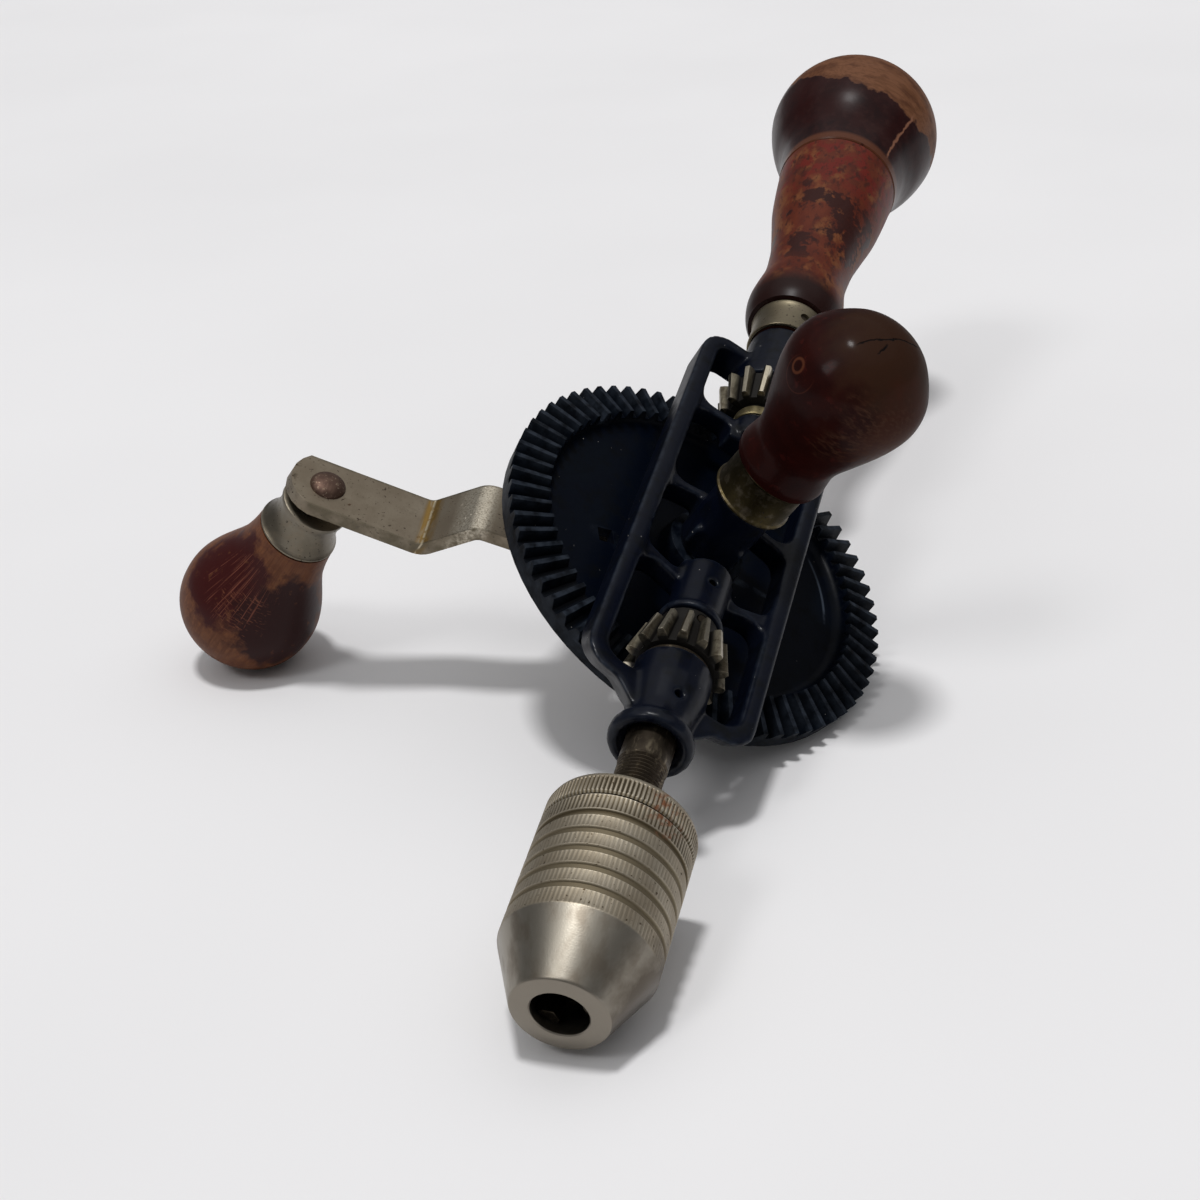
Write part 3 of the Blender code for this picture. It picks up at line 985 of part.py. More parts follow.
def main():
    for leftover in list(bpy.data.objects):
        bpy.data.objects.remove(leftover)
    enamel = paint("navy_enamel", (0.012, 0.018, 0.045), 0.35, 0.0)
    wheel_enamel = paint("wheel_enamel", (0.009, 0.014, 0.035), 0.4, 0.0)
    nickel = paint("satin_nickel", (0.36, 0.33, 0.27), 0.38, 1.0)
    arm_nickel = paint("arm_nickel", (0.34, 0.31, 0.26), 0.42, 1.0)
    steel = paint("dark_steel", (0.09, 0.075, 0.06), 0.45, 1.0)
    worn_steel = paint("tooth_steel", (0.24, 0.2, 0.16), 0.42, 1.0)
    brass = paint("collar_brass", (0.5, 0.43, 0.27), 0.4, 1.0)
    rivet = paint("rivet_steel", (0.16, 0.1, 0.075), 0.5, 1.0)
    ferrule = paint("ferrule_brass", (0.27, 0.22, 0.12), 0.42, 1.0)
    knob_wood = paint("knob_lacquer", (0.18, 0.055, 0.025), 0.4, 0.0)
    side_wood = paint("side_lacquer", (0.085, 0.012, 0.01), 0.25, 0.0)
    main_wood = paint("handle_lacquer", (0.21, 0.045, 0.02), 0.35, 0.0)
    cap_wood = paint("cap_lacquer", (0.1, 0.03, 0.02), 0.35, 0.0)
    jaw_steel = paint("jaw_steel", (0.1, 0.09, 0.08), 0.4, 1.0)

    rest = axis_empty("drill_rest", None, (0, 0, 0), (0, 0, 0))
    crank_axis = axis_empty("crank_axis", rest, (0, 0, 0), UPRIGHT)
    spindle_axis = axis_empty("spindle_axis", rest, (0, 0, 0), UPRIGHT)
    idler_axis = axis_empty("idler_axis", rest, (0, 0, 0), UPRIGHT)
    shell_axis = axis_empty("shell_axis", spindle_axis, (0, 0, 0), UPRIGHT)
    cap_axis = axis_empty("cap_axis", rest, (0, 0, 0), UPRIGHT)
    knob_axis = axis_empty("knob_axis", crank_axis,
                           (-CRANK_THROW * math.cos(ARM_SWING),
                            -CRANK_THROW * math.sin(ARM_SWING), 0), UPRIGHT)

    build_frame(rest, enamel)
    build_spindle(spindle_axis, steel, worn_steel)
    build_idler(rest, idler_axis, steel, worn_steel, brass)
    build_wheel(rest, crank_axis, wheel_enamel, steel)
    build_crank(crank_axis, arm_nickel, rivet)
    build_knob(knob_axis, knob_wood, arm_nickel)
    build_side_handle(rest, side_wood, ferrule, steel)
    build_main_handle(rest, cap_axis, main_wood, cap_wood, nickel, steel)
    build_chuck(spindle_axis, shell_axis, nickel, steel, jaw_steel)
    settle_shapes()
    lay_down(rest)


main()
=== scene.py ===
"""The finished look of the hand drill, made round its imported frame.

The drill's own axes are X across the frame, Y up the spindle from the chuck to the main handle,
and Z from the crank wheel to the side handle. Outlines are in millimetres along these axes.
"""
import json
import math

import bpy
from mathutils import Matrix, Vector


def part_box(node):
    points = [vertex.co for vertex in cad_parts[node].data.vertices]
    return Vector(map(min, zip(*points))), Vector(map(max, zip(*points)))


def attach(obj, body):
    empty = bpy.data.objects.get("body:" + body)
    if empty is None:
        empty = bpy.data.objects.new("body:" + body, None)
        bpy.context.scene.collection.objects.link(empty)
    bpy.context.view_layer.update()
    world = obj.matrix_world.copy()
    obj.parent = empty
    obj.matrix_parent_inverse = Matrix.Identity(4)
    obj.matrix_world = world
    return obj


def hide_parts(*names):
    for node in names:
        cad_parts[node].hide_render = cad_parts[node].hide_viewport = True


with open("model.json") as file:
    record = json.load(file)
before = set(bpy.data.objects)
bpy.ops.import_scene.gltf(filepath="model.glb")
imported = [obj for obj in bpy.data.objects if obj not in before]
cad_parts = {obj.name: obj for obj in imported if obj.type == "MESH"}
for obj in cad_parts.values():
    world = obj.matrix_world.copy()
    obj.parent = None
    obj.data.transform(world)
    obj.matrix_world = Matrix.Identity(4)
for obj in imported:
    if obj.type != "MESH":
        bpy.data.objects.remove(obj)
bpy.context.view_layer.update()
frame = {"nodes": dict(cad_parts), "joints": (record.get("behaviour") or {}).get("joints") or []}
bpy.ops.object.select_all(action='DESELECT')

MM = 0.001
TINY = 0.002               # corners nearer than this, in millimetres, are one corner

# The drill's own axes, and those of its turned pieces, whose Z is the line they turn on
joints = {joint["name"]: joint for joint in frame["joints"]}
crossing = Vector(joints["spindle_spin"]["pos_m"])
spindle_line = Vector(joints["spindle_spin"]["axis"])
cross_line = Vector(joints["crank_turn"]["axis"])
DRILL = Matrix((spindle_line.cross(cross_line), spindle_line, cross_line)).transposed().to_4x4()
DRILL.translation = crossing
SPINDLE = DRILL @ Matrix.Rotation(math.radians(-90), 4, 'X')
KNOB = DRILL.copy()
KNOB.translation = Vector(joints["knob_spin"]["pos_m"])
ARM_SWING = math.radians(186.3)
ARM = DRILL @ Matrix.Rotation(ARM_SWING, 4, 'Z')

# Faces round a turned piece, and the angles past which a corner stays sharp
FINE = 144
PLAIN = 96
HOLE_FACES = 24
CREASE = math.radians(30)
EASED_CREASE = math.radians(40)
EASED_FROM = math.radians(38)
THREAD_CREASE = math.radians(25)
FLAT = math.radians(0.5)

# Turned wood, as (radius, place along the axis)
KNOB_CURVE = [(10.6, -70.1), (10.9, -74), (11.5, -78), (12.5, -82), (14.1, -86), (15.9, -90),
              (17.6, -94), (18.8, -98), (19.15, -101.8), (18.8, -105.9), (17.7, -109.4),
              (15.7, -112.7), (12.9, -115.5), (9.6, -117.8), (7.6, -119.3), (6, -120.5)]
KNOB_BORE = 3.0
KNOB_TENON = 7.2
KNOB_TENON_END = -59.4
KNOB_SINK = 5.2
KNOB_END = -120.9
KNOB_SINK_FLOOR = -114.4
SIDE_CURVE = [(11.6, 25.7), (12.1, 27.9), (11.8, 30.5), (11.5, 33.8), (12.2, 37.3), (13.7, 41.2),
              (15.4, 45.6), (16.8, 49.5), (17.8, 53.1), (18.4, 56.8), (18.2, 60), (17.3, 63),
              (15.7, 65.6), (13.6, 68.3), (11.1, 70.8), (7.8, 72.8), (3.8, 74), (0, 74.3)]
SIDE_TENON = 9.3
SIDE_TENON_START = 14.9
SIDE_BORE = 4.3
SIDE_BORE_END = 50.3
HANDLE_CURVE = [(12, 93.9), (13.2, 96.8), (13.9, 101), (13.9, 104.8), (13.3, 109.8),
                (12.6, 114.8), (12.2, 119.9), (12.3, 125.7), (12.9, 134.1), (13.9, 140.8),
                (15.2, 148.3), (16.5, 155.8), (17.3, 163.4), (17.9, 170.9), (18.3, 177.2)]
HANDLE_TOP = 177.6
HANDLE_EDGE = 0.4
STORE_RADIUS = 9.0
STORE_FLOOR = 126.0
HANDLE_BORE = 4.3
HANDLE_TENON = 9.0
HANDLE_TENON_START = 82.3
CAP_CURVE = [(18.5, 178.3), (18.8, 182.5), (19.4, 186.8), (20.2, 190.8), (21.7, 195.1),
             (23.8, 199.8), (25.4, 204.7), (26.5, 209.3), (27, 213), (26.6, 218.2), (25, 223.1),
             (22.4, 227.7), (18.9, 231.6), (14.3, 235.4), (7.8, 238.1), (0, 239.2)]
CAP_SEAT = 177.9
CAP_SPIGOT = 8.7
CAP_SPIGOT_END = 165.9

# Turned metal
KNOB_FERRULE = [(3.9, -57.9), (8.4, -57.9), (9.0, -58.2), (9.1, -59), (8.7, -60.2), (8.55, -62),
                (8.6, -64), (9.1, -66), (9.9, -68), (10.3, -68.8), (10.6, -69.1), (10.65, -69.5),
                (10.4, -69.8), (7.5, -69.8), (7.5, -59.1), (3.9, -59.1)]
SIDE_FERRULE = [(4.3, 13.6), (10.2, 13.6), (10.6, 13.9), (10.6, 14.3), (10.2, 14.7),
                (10.1, 15.2), (10.1, 24), (10.3, 24.5), (10.6, 24.8), (10.6, 25.2), (10.3, 25.4),
                (9.6, 25.4), (9.6, 14.6), (4.3, 14.6)]
HANDLE_FERRULE = [(9.3, 82.3), (9.9, 82.3), (10.1, 82.5), (10.1, 88), (10.25, 90.5),
                  (10.55, 92.6), (10.8, 93.1), (10.8, 93.4), (10.6, 93.6), (9.3, 93.6)]
PIN_STATION = 88.6
PIN_HOLE = 1.5
COLLAR_RING = [(4.3, 42.9), (6.3, 42.9), (6.6, 43.2), (6.6, 45.9), (6.3, 46.2), (4.3, 46.2)]
WASHER_EDGE = 0.2
WASHER_RADIUS = 8.6

# Spindle: the shaft between its bearings, and the thread that the chuck screws on
SHAFT = [(0, -88.4), (5.45, -88.4), (5.8, -88.0), (5.8, -40.5), (5, -40.5), (5, -19.9), (4.6, -19.5),
         (0, -19.5)]
THREAD_START = -121.4
THREAD_END = -88.4
THREAD_PITCH = 1.06
THREAD_CREST = 5.6
THREAD_ROOT = 5.0
THREAD_CREST_SHARES = (0.42, 0.58)
THREAD_FACES = 40

# Chuck
RIDGES = 108
KNURL_STEPS = 3            # faces across a ridge: two on its top, and one valley line between
SHARP_KNURL = 0.3          # how deep the knurling is on the two bands nearest the frame
WORN_KNURL = 0.14          # and on those that hands have worn
CHUCK_RADIUS = 17.0
CHUCK_EDGE = 0.5
COLLAR_BACK = -107.1
COLLAR_BAND = (-112.5, -108.4)
COLLAR_FRONT = -112.9
BODY_FRONT = -136.4
BODY_RADIUS = 13.3
SHAFT_SOCKET = 6.1
SOCKET_END = -121.9
BODY_BORE = 4.2
JAW_SLOT_WIDTH = 5.1
JAW_SLOT_FLOOR = -123.0
JAWS = 3
SLEEVE_BACK = -113.6
GROOVES = 5
FIRST_GROOVE = -118.8
GROOVE_PITCH = 5.07
GROOVE_HALF = 0.85
GROOVE_DEPTH = 0.5
CONE_START = -144.2
CONE_END = -158.0
NOSE_RADIUS = 10.7
NOSE_FACE = -158.5
MOUTH_RADIUS = 6.2
MOUTH_DEPTH = 1.0
SLEEVE_BORE = 13.6

# Rivet head on the crank arm
RIVET_RADIUS = 4.7
RIVET_HEIGHT = 2.3
RIVET_PLACE = -50.75
RIVET_TILT = math.radians(11)
RIVET_SHANK = 2.7
RIVET_FOOT_RADIUS = 4.4
RIVET_FOOT = (-116.5, -114.7)

# Shoulder screw behind the wheel
SCREW = [(0, -28.9), (8.8, -28.9), (9.6, -28.1), (9.6, -25.5), (5.4, -25.5), (5.4, -7.3),
         (4.2, -7.3), (4.2, 0.8), (0, 0.8)]
SCREW_SLOT_WIDTH = 1.6
SCREW_SLOT_FLOOR = -27.4

# Cast iron
CAST_GRAIN = 0.5
CAST_SMOOTHING = 18

# The foot of the pinion teeth: its radius carried back to the axes' crossing, and how it grows
TOOTH_FOOT = -0.22
TOOTH_SLOPE = 0.18

# Where the crank wheel's teeth start, from its axis
WHEEL_TEETH_START = (44.5, 45.5)

# A worn arc on the wheel's disc
SCRAPE = (35.7, 17.5, -13)
SCRAPE_RADIUS = math.hypot(*SCRAPE[:2])

# How far edges are eased, by how the piece was made
CAST_EDGE = 0.3
CUT_EDGE = 0.18
STAMPED_EDGE = 0.75
JAW_EDGE = 0.2

# Camera, in the drill's own axes
CAMERA_PLACE = (-105.41, -405.21, 314.74)
CAMERA_RIGHT = (0.83232, 0.24578, 0.49682)
CAMERA_FORWARD = (0.17056, 0.73926, -0.65147)
CAMERA_LENS = 62.04
FLOOR_SIZE = 40000.0

# Light: the way that each lamp shines from, its strength, and how wide it looks in degrees
LAMPS = {"high_lamp": ((-0.02, -0.11, 1.0), 1.6, 8),
         "front_lamp": ((-0.385, -0.725, 1.0), 0.45, 14),
         "ceiling": ((0.1, 0.15, 1.0), 0.68, 95)}
ROOM_STRENGTH = 0.2

# How much paint and lacquer shine under their film
BODY_SHINE = 0.04

# Islands of the older dark coat on the main handle, as (middle, reach)
HANDLE_PATCHES = [((0, -14, 145), 4.5), ((5, -13, 139), 5.0), ((6, -11, 131), 4.5),
                  ((-9.7, -11, 147), 3.5), ((-8.5, -8.6, 126), 3.6), ((9, -11, 148), 3.2)]

# Sockets of the Mix node that lays one colour over another
MIX_BELOW, MIX_ABOVE, MIX_COLOUR = 6, 7, 2
MIX_LOW, MIX_HIGH, MIX_VALUE = 2, 3, 0


def place_piece(piece, name, place):
    """Name the piece, and put it at its place with that place in its mesh."""
    piece.name = name
    piece.data.name = name
    piece.matrix_world = place @ piece.matrix_world
    bpy.ops.object.transform_apply(location=True, rotation=True, scale=True)
    return piece


def draw_line(corners):
    """Draw a line of edges through corners in the XZ plane, from a single point."""
    bpy.ops.object.select_all(action='DESELECT')
    bpy.ops.mesh.primitive_plane_add(size=MM)
    bpy.ops.object.mode_set(mode='EDIT')
    bpy.ops.mesh.select_all(action='SELECT')
    bpy.ops.mesh.merge(type='CENTER')
    points = [Vector((radius, 0, height)) * MM for radius, height in corners]
    bpy.ops.transform.translate(value=points[0])
    for here, there in zip(points, points[1:]):
        bpy.ops.mesh.extrude_region_move(TRANSFORM_OT_translate={"value": there - here})


def turned(name, outline, place, faces=PLAIN):
    """A piece turned on a lathe: its half section is drawn, and spun round the axis."""
    closed = outline if outline[0][0] == 0 else outline + outline[:1]
    draw_line(closed)
    bpy.ops.mesh.select_all(action='SELECT')
    bpy.ops.mesh.spin(steps=faces, angle=math.radians(360), center=(0, 0, 0), axis=(0, 0, 1))
    bpy.ops.mesh.select_all(action='SELECT')
    bpy.ops.mesh.remove_doubles(threshold=TINY * MM)
    bpy.ops.mesh.normals_make_consistent(inside=False)
    bpy.ops.object.mode_set(mode='OBJECT')
    bpy.ops.object.shade_smooth_by_angle(angle=CREASE)
    return place_piece(bpy.context.object, name, place)


def flowing(corners, steps=5):
    """The points of a smooth line through the corners of a turned outline."""
    ends = [corners[0]] + corners + [corners[-1]]
    points = []
    for before, start, end, after in zip(ends, ends[1:], ends[2:], ends[3:]):
        for step in range(steps):
            share = step / steps
            points.append(tuple(
                ((2 * b) + (c - a) * share + (2 * a - 5 * b + 4 * c - d) * share ** 2
                 + (3 * b - a - 3 * c + d) * share ** 3) / 2
                for a, b, c, d in zip(before, start, end, after)))
    return points + [corners[-1]]


def pick_corners(piece, chosen):
    """Select the corners of a piece in edit mode for which chosen says so."""
    bpy.ops.mesh.select_all(action='DESELECT')
    bpy.ops.object.mode_set(mode='OBJECT')
    for corner in piece.data.vertices:
        corner.select = chosen(corner.co)
    bpy.ops.object.mode_set(mode='EDIT')


def knurled(name, outline, bands, place):
    """A turned piece with straight knurling: every third line of its bands, each given as its
    start, its end and its depth, is pressed in."""
    piece = turned(name, outline, Matrix.Identity(4), RIDGES * KNURL_STEPS)
    low = (CHUCK_RADIUS - GROOVE_DEPTH / 2) * MM
    bpy.ops.object.mode_set(mode='EDIT')
    bpy.ops.mesh.select_mode(type='VERT')
    for start, end, depth in bands:
        def valley(corner):
            line = round(math.atan2(corner.y, corner.x) / math.radians(360)
                         * RIDGES * KNURL_STEPS)
            return (line % KNURL_STEPS == 0 and corner.xy.length > low
                    and start < corner.z / MM < end)

        pick_corners(piece, valley)
        shrink = 1 - depth / CHUCK_RADIUS
        bpy.ops.transform.resize(value=(shrink, shrink, 1), center_override=(0, 0, 0))
    bpy.ops.object.mode_set(mode='OBJECT')
    return place_piece(piece, name, place)


def cut_away(piece, cutters):
    """Cut other pieces out of a piece, and take them away."""
    for cutter in cutters:
        cut = piece.modifiers.new(cutter.name, 'BOOLEAN')
        cut.operation = 'DIFFERENCE'
        cut.object = cutter
    bpy.context.view_layer.objects.active = piece
    for modifier in list(piece.modifiers):
        bpy.ops.object.modifier_apply(modifier=modifier.name)
    for cutter in cutters:
        bpy.data.objects.remove(cutter)
    piece.data.shade_smooth()
    piece.data.set_sharp_from_angle(angle=CREASE)
    return piece


def block(size, middle, place):
    """A square cutter, with its middle and size in the axes of its place."""
    bpy.ops.mesh.primitive_cube_add(size=MM)
    bpy.context.object.scale = size
    bpy.context.object.location = Vector(middle) * MM
    bpy.context.view_layer.update()
    return place_piece(bpy.context.object, "cutter", place)


def copy_of(node, name):
    """A copy of one of the drill's solids, with its loose faces joined up."""
    source = frame["nodes"][node]
    piece = bpy.data.objects.new(name, source.data.copy())
    piece.data.materials.clear()
    bpy.context.collection.objects.link(piece)
    bpy.ops.object.select_all(action='DESELECT')
    piece.select_set(True)
    bpy.context.view_layer.objects.active = piece
    bpy.ops.object.mode_set(mode='EDIT')
    bpy.ops.mesh.select_all(action='SELECT')
    bpy.ops.mesh.remove_doubles(threshold=TINY * MM)
    bpy.ops.mesh.dissolve_limited(angle_limit=FLAT)
    bpy.ops.object.mode_set(mode='OBJECT')
    return piece


def eased(node, name, width, rounds=2):
    """A copy of a solid whose sharp edges are eased, as a file or a mould leaves them."""
    piece = copy_of(node, name)
    ease = piece.modifiers.new("ease", 'BEVEL')
    ease.width = width * MM
    ease.segments = rounds
    ease.limit_method = 'ANGLE'
    ease.angle_limit = EASED_FROM
    flats = piece.modifiers.new("flats", 'WEIGHTED_NORMAL')
    flats.keep_sharp = True
    bpy.ops.object.modifier_apply(modifier="ease")
    bpy.ops.object.shade_smooth_by_angle(angle=EASED_CREASE)
    bpy.ops.object.modifier_apply(modifier="flats")
    return piece


def cast(node, name):
    """A casting: the solid's corners are rounded off all over, as in a sand mould. It is done
    in the drill's own axes, so that straight sides stay straight."""
    piece = place_piece(copy_of(node, name), name, DRILL.inverted())
    grain = piece.modifiers.new("grain", 'REMESH')
    grain.mode = 'VOXEL'
    grain.voxel_size = CAST_GRAIN * MM
    rounding = piece.modifiers.new("rounding", 'SMOOTH')
    rounding.factor = 0.5
    rounding.iterations = CAST_SMOOTHING
    for modifier in ("grain", "rounding"):
        bpy.ops.object.modifier_apply(modifier=modifier)
    bpy.ops.object.shade_smooth()
    return place_piece(piece, name, DRILL)


def screw_thread(name):
    """The spindle's thread: one ridge wound round the axis, cut flat at both ends."""
    turns = math.ceil((THREAD_END - THREAD_START) / THREAD_PITCH) + 2
    start = THREAD_START - THREAD_PITCH
    crest = [(THREAD_CREST, start + THREAD_PITCH * share) for share in THREAD_CREST_SHARES]
    draw_line([(THREAD_ROOT, start)] + crest + [(THREAD_ROOT, start + THREAD_PITCH)])
    bpy.ops.object.mode_set(mode='OBJECT')
    piece = bpy.context.object
    wind = piece.modifiers.new("wind", 'SCREW')
    wind.axis = 'Z'
    wind.angle = math.radians(360)
    wind.screw_offset = THREAD_PITCH * MM
    wind.iterations = turns
    wind.steps = THREAD_FACES
    wind.render_steps = THREAD_FACES
    wind.use_merge_vertices = True
    wind.merge_threshold = TINY * MM
    bpy.ops.object.modifier_apply(modifier="wind")
    bpy.ops.object.mode_set(mode='EDIT')
    bpy.ops.mesh.select_all(action='SELECT')
    bpy.ops.mesh.remove_doubles(threshold=TINY * MM)
    for height, side in ((THREAD_START, -1), (THREAD_END, 1)):
        bpy.ops.mesh.select_all(action='SELECT')
        bpy.ops.mesh.bisect(plane_co=(0, 0, height * MM), plane_no=(0, 0, side),
                            use_fill=True, clear_outer=True)
    bpy.ops.mesh.select_all(action='SELECT')
    bpy.ops.mesh.normals_make_consistent(inside=False)
    bpy.ops.object.mode_set(mode='OBJECT')
    bpy.ops.object.shade_smooth_by_angle(angle=THREAD_CREASE)
    return place_piece(piece, name, SPINDLE)


def make_wood():
    """The knob, the two handles and the cap over the bit store."""
    knob = turned("knob_turning", [(KNOB_BORE, KNOB_TENON_END), (KNOB_TENON, KNOB_TENON_END),
                                   (KNOB_TENON, KNOB_CURVE[0][1])] + flowing(KNOB_CURVE)
                  + [(KNOB_SINK, KNOB_END), (KNOB_SINK, KNOB_SINK_FLOOR),
                     (KNOB_BORE, KNOB_SINK_FLOOR)], KNOB, FINE)
    side = turned("side_handle_turning", [(0, SIDE_BORE_END), (SIDE_BORE, SIDE_BORE_END),
                                          (SIDE_BORE, SIDE_TENON_START),
                                          (SIDE_TENON, SIDE_TENON_START),
                                          (SIDE_TENON, SIDE_CURVE[0][1])]
                  + flowing(SIDE_CURVE), DRILL, FINE)
    handle = turned("main_handle_turning", [
        (STORE_RADIUS, HANDLE_TOP), (STORE_RADIUS, STORE_FLOOR), (HANDLE_BORE, STORE_FLOOR),
        (HANDLE_BORE, HANDLE_TENON_START), (HANDLE_TENON, HANDLE_TENON_START),
        (HANDLE_TENON, HANDLE_CURVE[0][1])] + flowing(HANDLE_CURVE)
        + [(HANDLE_CURVE[-1][0] - HANDLE_EDGE, HANDLE_TOP)], SPINDLE, FINE)
    cap = turned("cap_turning", [(0, CAP_SPIGOT_END), (CAP_SPIGOT, CAP_SPIGOT_END),
                                 (CAP_SPIGOT, CAP_SEAT), (CAP_CURVE[0][0] - HANDLE_EDGE, CAP_SEAT)]
                 + flowing(CAP_CURVE), SPINDLE, FINE)
    return {"crank_knob": knob, "side_handle": side, "main_handle": handle, "handle_cap": cap}


def make_ferrules():
    """The three ferrules, the pale collar, and the two thrust washers."""
    ferrule = turned("handle_ferrule_ring", HANDLE_FERRULE, SPINDLE, FINE)
    bpy.ops.mesh.primitive_cylinder_add(vertices=HOLE_FACES, radius=PIN_HOLE * MM,
                                        depth=4 * WASHER_RADIUS * MM)
    hole = place_piece(bpy.context.object, "cutter",
                       DRILL @ Matrix.Translation((0, PIN_STATION * MM, 0)))
    cut_away(ferrule, [hole])
    pieces = {"main_handle_ferrule": ferrule,
              "knob_ferrule": turned("knob_ferrule_cup", KNOB_FERRULE, KNOB, FINE),
              "side_handle_ferrule": turned("side_ferrule_cup", SIDE_FERRULE, DRILL, FINE),
              "idler_collar": turned("idler_collar_ring", COLLAR_RING, SPINDLE)}
    for node, bore in (("drive_thrust_washer", SHAFT_SOCKET), ("idler_thrust_washer", HANDLE_BORE)):
        low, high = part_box(node)
        middle = (low + high) / 2
        station = (SPINDLE.inverted() @ middle).z / MM
        half = WASHER_EDGE * 2
        pieces[node] = turned(node + "_disc", [
            (bore, station - half), (WASHER_RADIUS - WASHER_EDGE, station - half),
            (WASHER_RADIUS, station - half + WASHER_EDGE),
            (WASHER_RADIUS, station + half - WASHER_EDGE),
            (WASHER_RADIUS - WASHER_EDGE, station + half), (bore, station + half)], SPINDLE)
    return pieces


def make_chuck():
    """The chuck's collar and body, and its sleeve with the knurled bands and the cone."""
    edge = CHUCK_EDGE
    collar = knurled("chuck_collar", [
        (SHAFT_SOCKET, COLLAR_BACK), (CHUCK_RADIUS - 2 * edge, COLLAR_BACK),
        (CHUCK_RADIUS - edge / 2, COLLAR_BACK - edge / 2),
        (CHUCK_RADIUS, COLLAR_BACK - 2 * edge), (CHUCK_RADIUS, COLLAR_BAND[1] + edge / 4),
        (CHUCK_RADIUS, COLLAR_BAND[1] - edge / 4), (CHUCK_RADIUS, COLLAR_BAND[0] + edge / 2),
        (CHUCK_RADIUS - edge, COLLAR_FRONT), (BODY_RADIUS, COLLAR_FRONT),
        (BODY_RADIUS, BODY_FRONT), (BODY_BORE, BODY_FRONT), (BODY_BORE, SOCKET_END),
        (SHAFT_SOCKET, SOCKET_END)], [(*COLLAR_BAND, SHARP_KNURL)], SPINDLE)
    length = JAW_SLOT_FLOOR - BODY_FRONT + 2 * edge
    slots = [block((2 * CHUCK_RADIUS, JAW_SLOT_WIDTH, length),
                   (CHUCK_RADIUS, 0, JAW_SLOT_FLOOR - length / 2),
                   SPINDLE @ Matrix.Rotation(math.radians(90 + 360 / JAWS * number), 4, 'Z'))
             for number in range(JAWS)]
    cut_away(collar, slots)
    low = CHUCK_RADIUS - GROOVE_DEPTH
    lands = []
    bands = []
    start = SLEEVE_BACK
    for number in range(GROOVES + 1):
        middle = FIRST_GROOVE - GROOVE_PITCH * number
        end = middle + GROOVE_HALF if number < GROOVES else CONE_START
        lands += [(low, start + edge / 4), (CHUCK_RADIUS - edge / 5, start),
                  (CHUCK_RADIUS, start - edge / 3), (CHUCK_RADIUS, start - edge * 0.7),
                  (CHUCK_RADIUS, end + edge * 0.7), (CHUCK_RADIUS, end + edge / 3)]
        if number < GROOVES:
            lands += [(CHUCK_RADIUS - edge / 5, end), (low, end - edge / 2),
                      (low, middle - GROOVE_HALF + edge / 2)]
        bands.append((end + edge / 2, start - edge / 2,
                      WORN_KNURL if number else SHARP_KNURL))
        start = middle - GROOVE_HALF
    slope = (CHUCK_RADIUS - NOSE_RADIUS) / (CONE_START - CONE_END)
    inner_end = NOSE_FACE + MOUTH_DEPTH + (SLEEVE_BORE - MOUTH_RADIUS) / slope
    sleeve = knurled("chuck_sleeve", [(SLEEVE_BORE, SLEEVE_BACK), (low, SLEEVE_BACK)]
                     + lands[1:] + [(CHUCK_RADIUS - edge / 5, CONE_START - edge / 5),
                                    (NOSE_RADIUS + edge / 4, CONE_END + edge / 2),
                                    (NOSE_RADIUS, CONE_END), (NOSE_RADIUS - edge / 2, NOSE_FACE
                                                              + edge / 4),
                                    (NOSE_RADIUS - edge, NOSE_FACE),
                                    (MOUTH_RADIUS + edge / 2, NOSE_FACE),
                                    (MOUTH_RADIUS, NOSE_FACE + edge / 2),
                                    (MOUTH_RADIUS, NOSE_FACE + MOUTH_DEPTH),
                                    (SLEEVE_BORE, inner_end)], bands, SPINDLE)
    return {"chuck_body": collar, "chuck_shell": sleeve}


def make_rivet():
    """The knob's pin, with its hammered head on the arm."""
    head = [(RIVET_RADIUS * math.cos(turn), RIVET_HEIGHT * math.sin(turn))
            for turn in [math.radians(90) * step / 10 for step in range(11)]]
    seat = KNOB @ Matrix.Translation((0, 0, RIVET_PLACE * MM))
    low, high = [station - RIVET_PLACE for station in RIVET_FOOT]
    top = RIVET_HEIGHT / 4
    pin = turned("rivet", [(0, low), (RIVET_FOOT_RADIUS, low), (RIVET_FOOT_RADIUS, high),
                           (RIVET_SHANK, high), (RIVET_SHANK, top), (0, top)], seat)
    turn = ARM.to_3x3().to_4x4() @ Matrix.Rotation(RIVET_TILT, 4, 'Y')
    crown = turned("rivet_head", [(0, 0)] + head[:-1] + [(0, RIVET_HEIGHT)],
                   Matrix.Translation(seat.translation) @ turn)
    return pin, crown


def make_screw():
    """The slotted shoulder screw that the wheel turns on."""
    screw = turned("shoulder_screw", SCREW, DRILL)
    depth = SCREW_SLOT_FLOOR - SCREW[0][1]
    slot = block((3 * WASHER_RADIUS, SCREW_SLOT_WIDTH, 2 * depth), (0, 0, SCREW[0][1]), DRILL)
    return cut_away(screw, [slot])


def paint_hex(code):
    """The linear colour of an sRGB hex value."""
    shares = [int(code[place:place + 2], 16) / 255 for place in (1, 3, 5)]
    return (*[share / 12.92 if share <= 0.04045 else ((share + 0.055) / 1.055) ** 2.4
              for share in shares], 1)


def wire(tree, node, inputs):
    """Set each of these inputs of a node, or link it."""
    for name, value in inputs.items():
        if isinstance(value, bpy.types.NodeSocket):
            tree.links.new(value, node.inputs[name])
        else:
            node.inputs[name].default_value = value


def add(tree, kind, inputs=None, **settings):
    """Add a node with its settings and inputs."""
    made = tree.nodes.new(kind)
    for name, value in settings.items():
        setattr(made, name, value)
    wire(tree, made, inputs or {})
    return made


